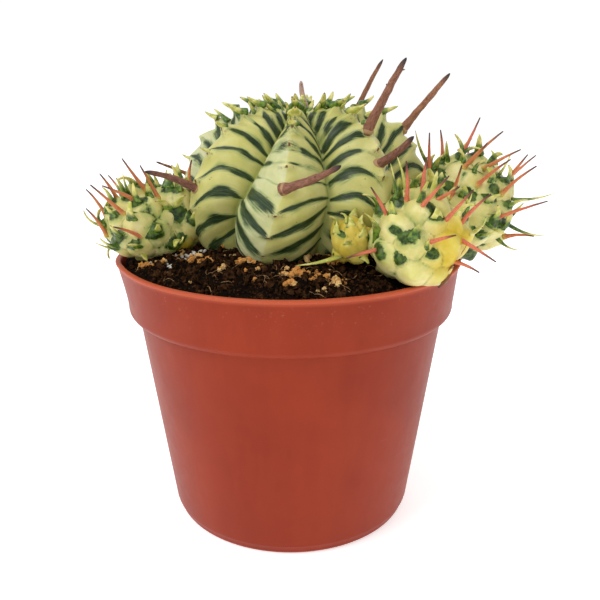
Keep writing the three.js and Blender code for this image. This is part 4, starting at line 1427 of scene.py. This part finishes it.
# Clay and pumice lie mostly in a few drifts round the front of the stem: place and spread.
DRIFTS = [
    (-32, -13, 1.8), (-27, -18, 1.5), (-23, -21, 1.5), (-19, -16, 2.2), (-18, -24, 1.8),
    (-12, -23, 2.0), (-10, -30, 2.0), (-1, -33, 1.8), (8, -34, 1.8), (11, -38, 1.4), (6, -20, 2.0),
    (12, -20, 2.0), (14, -26, 1.5), (2, -41, 1.4), (-38, -18, 2.0),
]
PUMICE_DRIFTS = [(-31, -15, 3), (-26, -12, 3)]
lumps("peat_crumbs", "crumb", 1700, (0.35, 1.15), 1, 4, 0.05, 1.0)
lumps("peat_dust", "crumb", 5200, (0.16, 0.42), 1, 14, 0.2, 0.8)
CLAY_NODES = ["grain_1", "grain_2"]
lumps("clay_grains", "clay", 82, (0.35, 1.0), 2, 5, 0.0, 0.6, DRIFTS, CLAY_NODES, cluster=4)
lumps("pumice_grains", "pumice", 12, (0.35, 0.7), 2, 6, 0.05, 0.5, PUMICE_DRIFTS, cluster=3)


def make_fibres():
    """Fine dry roots that wander over the soil."""
    local = np.random.default_rng(12)
    parts = []
    made = 0
    while made < 90:
        x, y = anywhere(local, RIM - 5)
        if not clear_of_plant(x, y, 0.5):
            continue
        count = 12
        turn = local.uniform(0, 2 * np.pi)
        length = local.uniform(2.5, 9)
        line = []
        for k in range(count):
            turn += local.normal() * 0.35
            x += math.cos(turn) * length / count
            y += math.sin(turn) * length / count
            if math.hypot(x, y) > RIM - 3:
                break
            line.append([x, y, soil_at(x, y) + 0.5 + 0.5 * math.sin(k * 0.7 + made)])
        if len(line) < 5:
            continue
        radii = np.full(len(line), local.uniform(0.06, 0.13))
        parts.append(tube(line, radii, 5, seed=made, tone=local.random()))
        made += 1
    make_piece("root_fibres", parts, "fibre")


make_fibres()


# ---------------------------------------------------------------- studio

# Lights, in metres: place, side and power. They all shine on the plant's middle.
LIGHTS = {
    "key": ((-0.55, -0.35, 0.95), 0.6, 6.0),
    "fill": ((0.8, -0.5, 0.6), 0.8, 1.2),
    "back": ((0.3, 0.9, 0.8), 0.9, 2.5),
}
MIDDLE = Vector((0, 0, 0.09))
# The camera: place in metres, degrees it looks down and to the right, and lens in millimetres.
CAMERA_PLACE = (0, -0.2158, 0.1343)
CAMERA_DOWN = 17.25
CAMERA_RIGHT = 0.76
LENS = 42.18


def make_floor():
    far = 6e3
    corners = [[-far, -far, 0], [far, -far, 0], [far, far, 0], [-far, far, 0]]
    floor = mesh_from("floor", corners, [(0, 1, 2, 3)], shade=False)
    n = Nodes("paper_floor")
    n.shader.inputs["Emission Color"].default_value = (1, 1, 1, 1)
    tone = n.noise(n.position(), 3, 2)
    paper = n.mix(tone, (0.90, 0.90, 0.90), (0.92, 0.92, 0.92))
    floor.data.materials.append(n.surface(paper, 0.9, Emission_Strength=0.50))


def make_sky():
    """A white wall all round up to a little above the horizon, and a softer sky over it."""
    world = bpy.data.worlds.new("studio")
    bpy.context.scene.world = world
    world.use_nodes = True
    tree = world.node_tree
    where = tree.nodes.new("ShaderNodeTexCoord")
    axes = tree.nodes.new("ShaderNodeSeparateXYZ")
    fade = tree.nodes.new("ShaderNodeMapRange")
    tree.links.new(where.outputs["Generated"], axes.inputs[0])
    tree.links.new(axes.outputs["Z"], fade.inputs["Value"])
    for key, value in (("From Min", 0.22), ("From Max", 0.45), ("To Min", 1.02), ("To Max", 0.55)):
        fade.inputs[key].default_value = value
    sky = tree.nodes["Background"]
    sky.inputs["Color"].default_value = (1, 1, 1, 1)
    tree.links.new(fade.outputs["Result"], sky.inputs["Strength"])


def make_lights():
    for name, (place, side, power) in LIGHTS.items():
        data = bpy.data.lights.new(name, "AREA")
        data.shape = "SQUARE"
        data.size = side
        data.energy = power
        light = in_scene(name, data)
        light.location = place
        light.rotation_euler = (MIDDLE - Vector(place)).to_track_quat("-Z", "Y").to_euler()


def make_camera():
    data = bpy.data.cameras.new("camera")
    data.sensor_width = 36
    data.lens = LENS
    data.clip_start = 0.01
    data.clip_end = 50
    camera = in_scene("camera", data)
    camera.location = CAMERA_PLACE
    camera.rotation_euler = (math.radians(90 - CAMERA_DOWN), 0, math.radians(-CAMERA_RIGHT))
    bpy.context.scene.camera = camera
    bpy.context.scene.view_settings.view_transform = "Standard"
    bpy.context.scene.view_settings.look = "None"


make_floor()
make_sky()
make_lights()
make_camera()
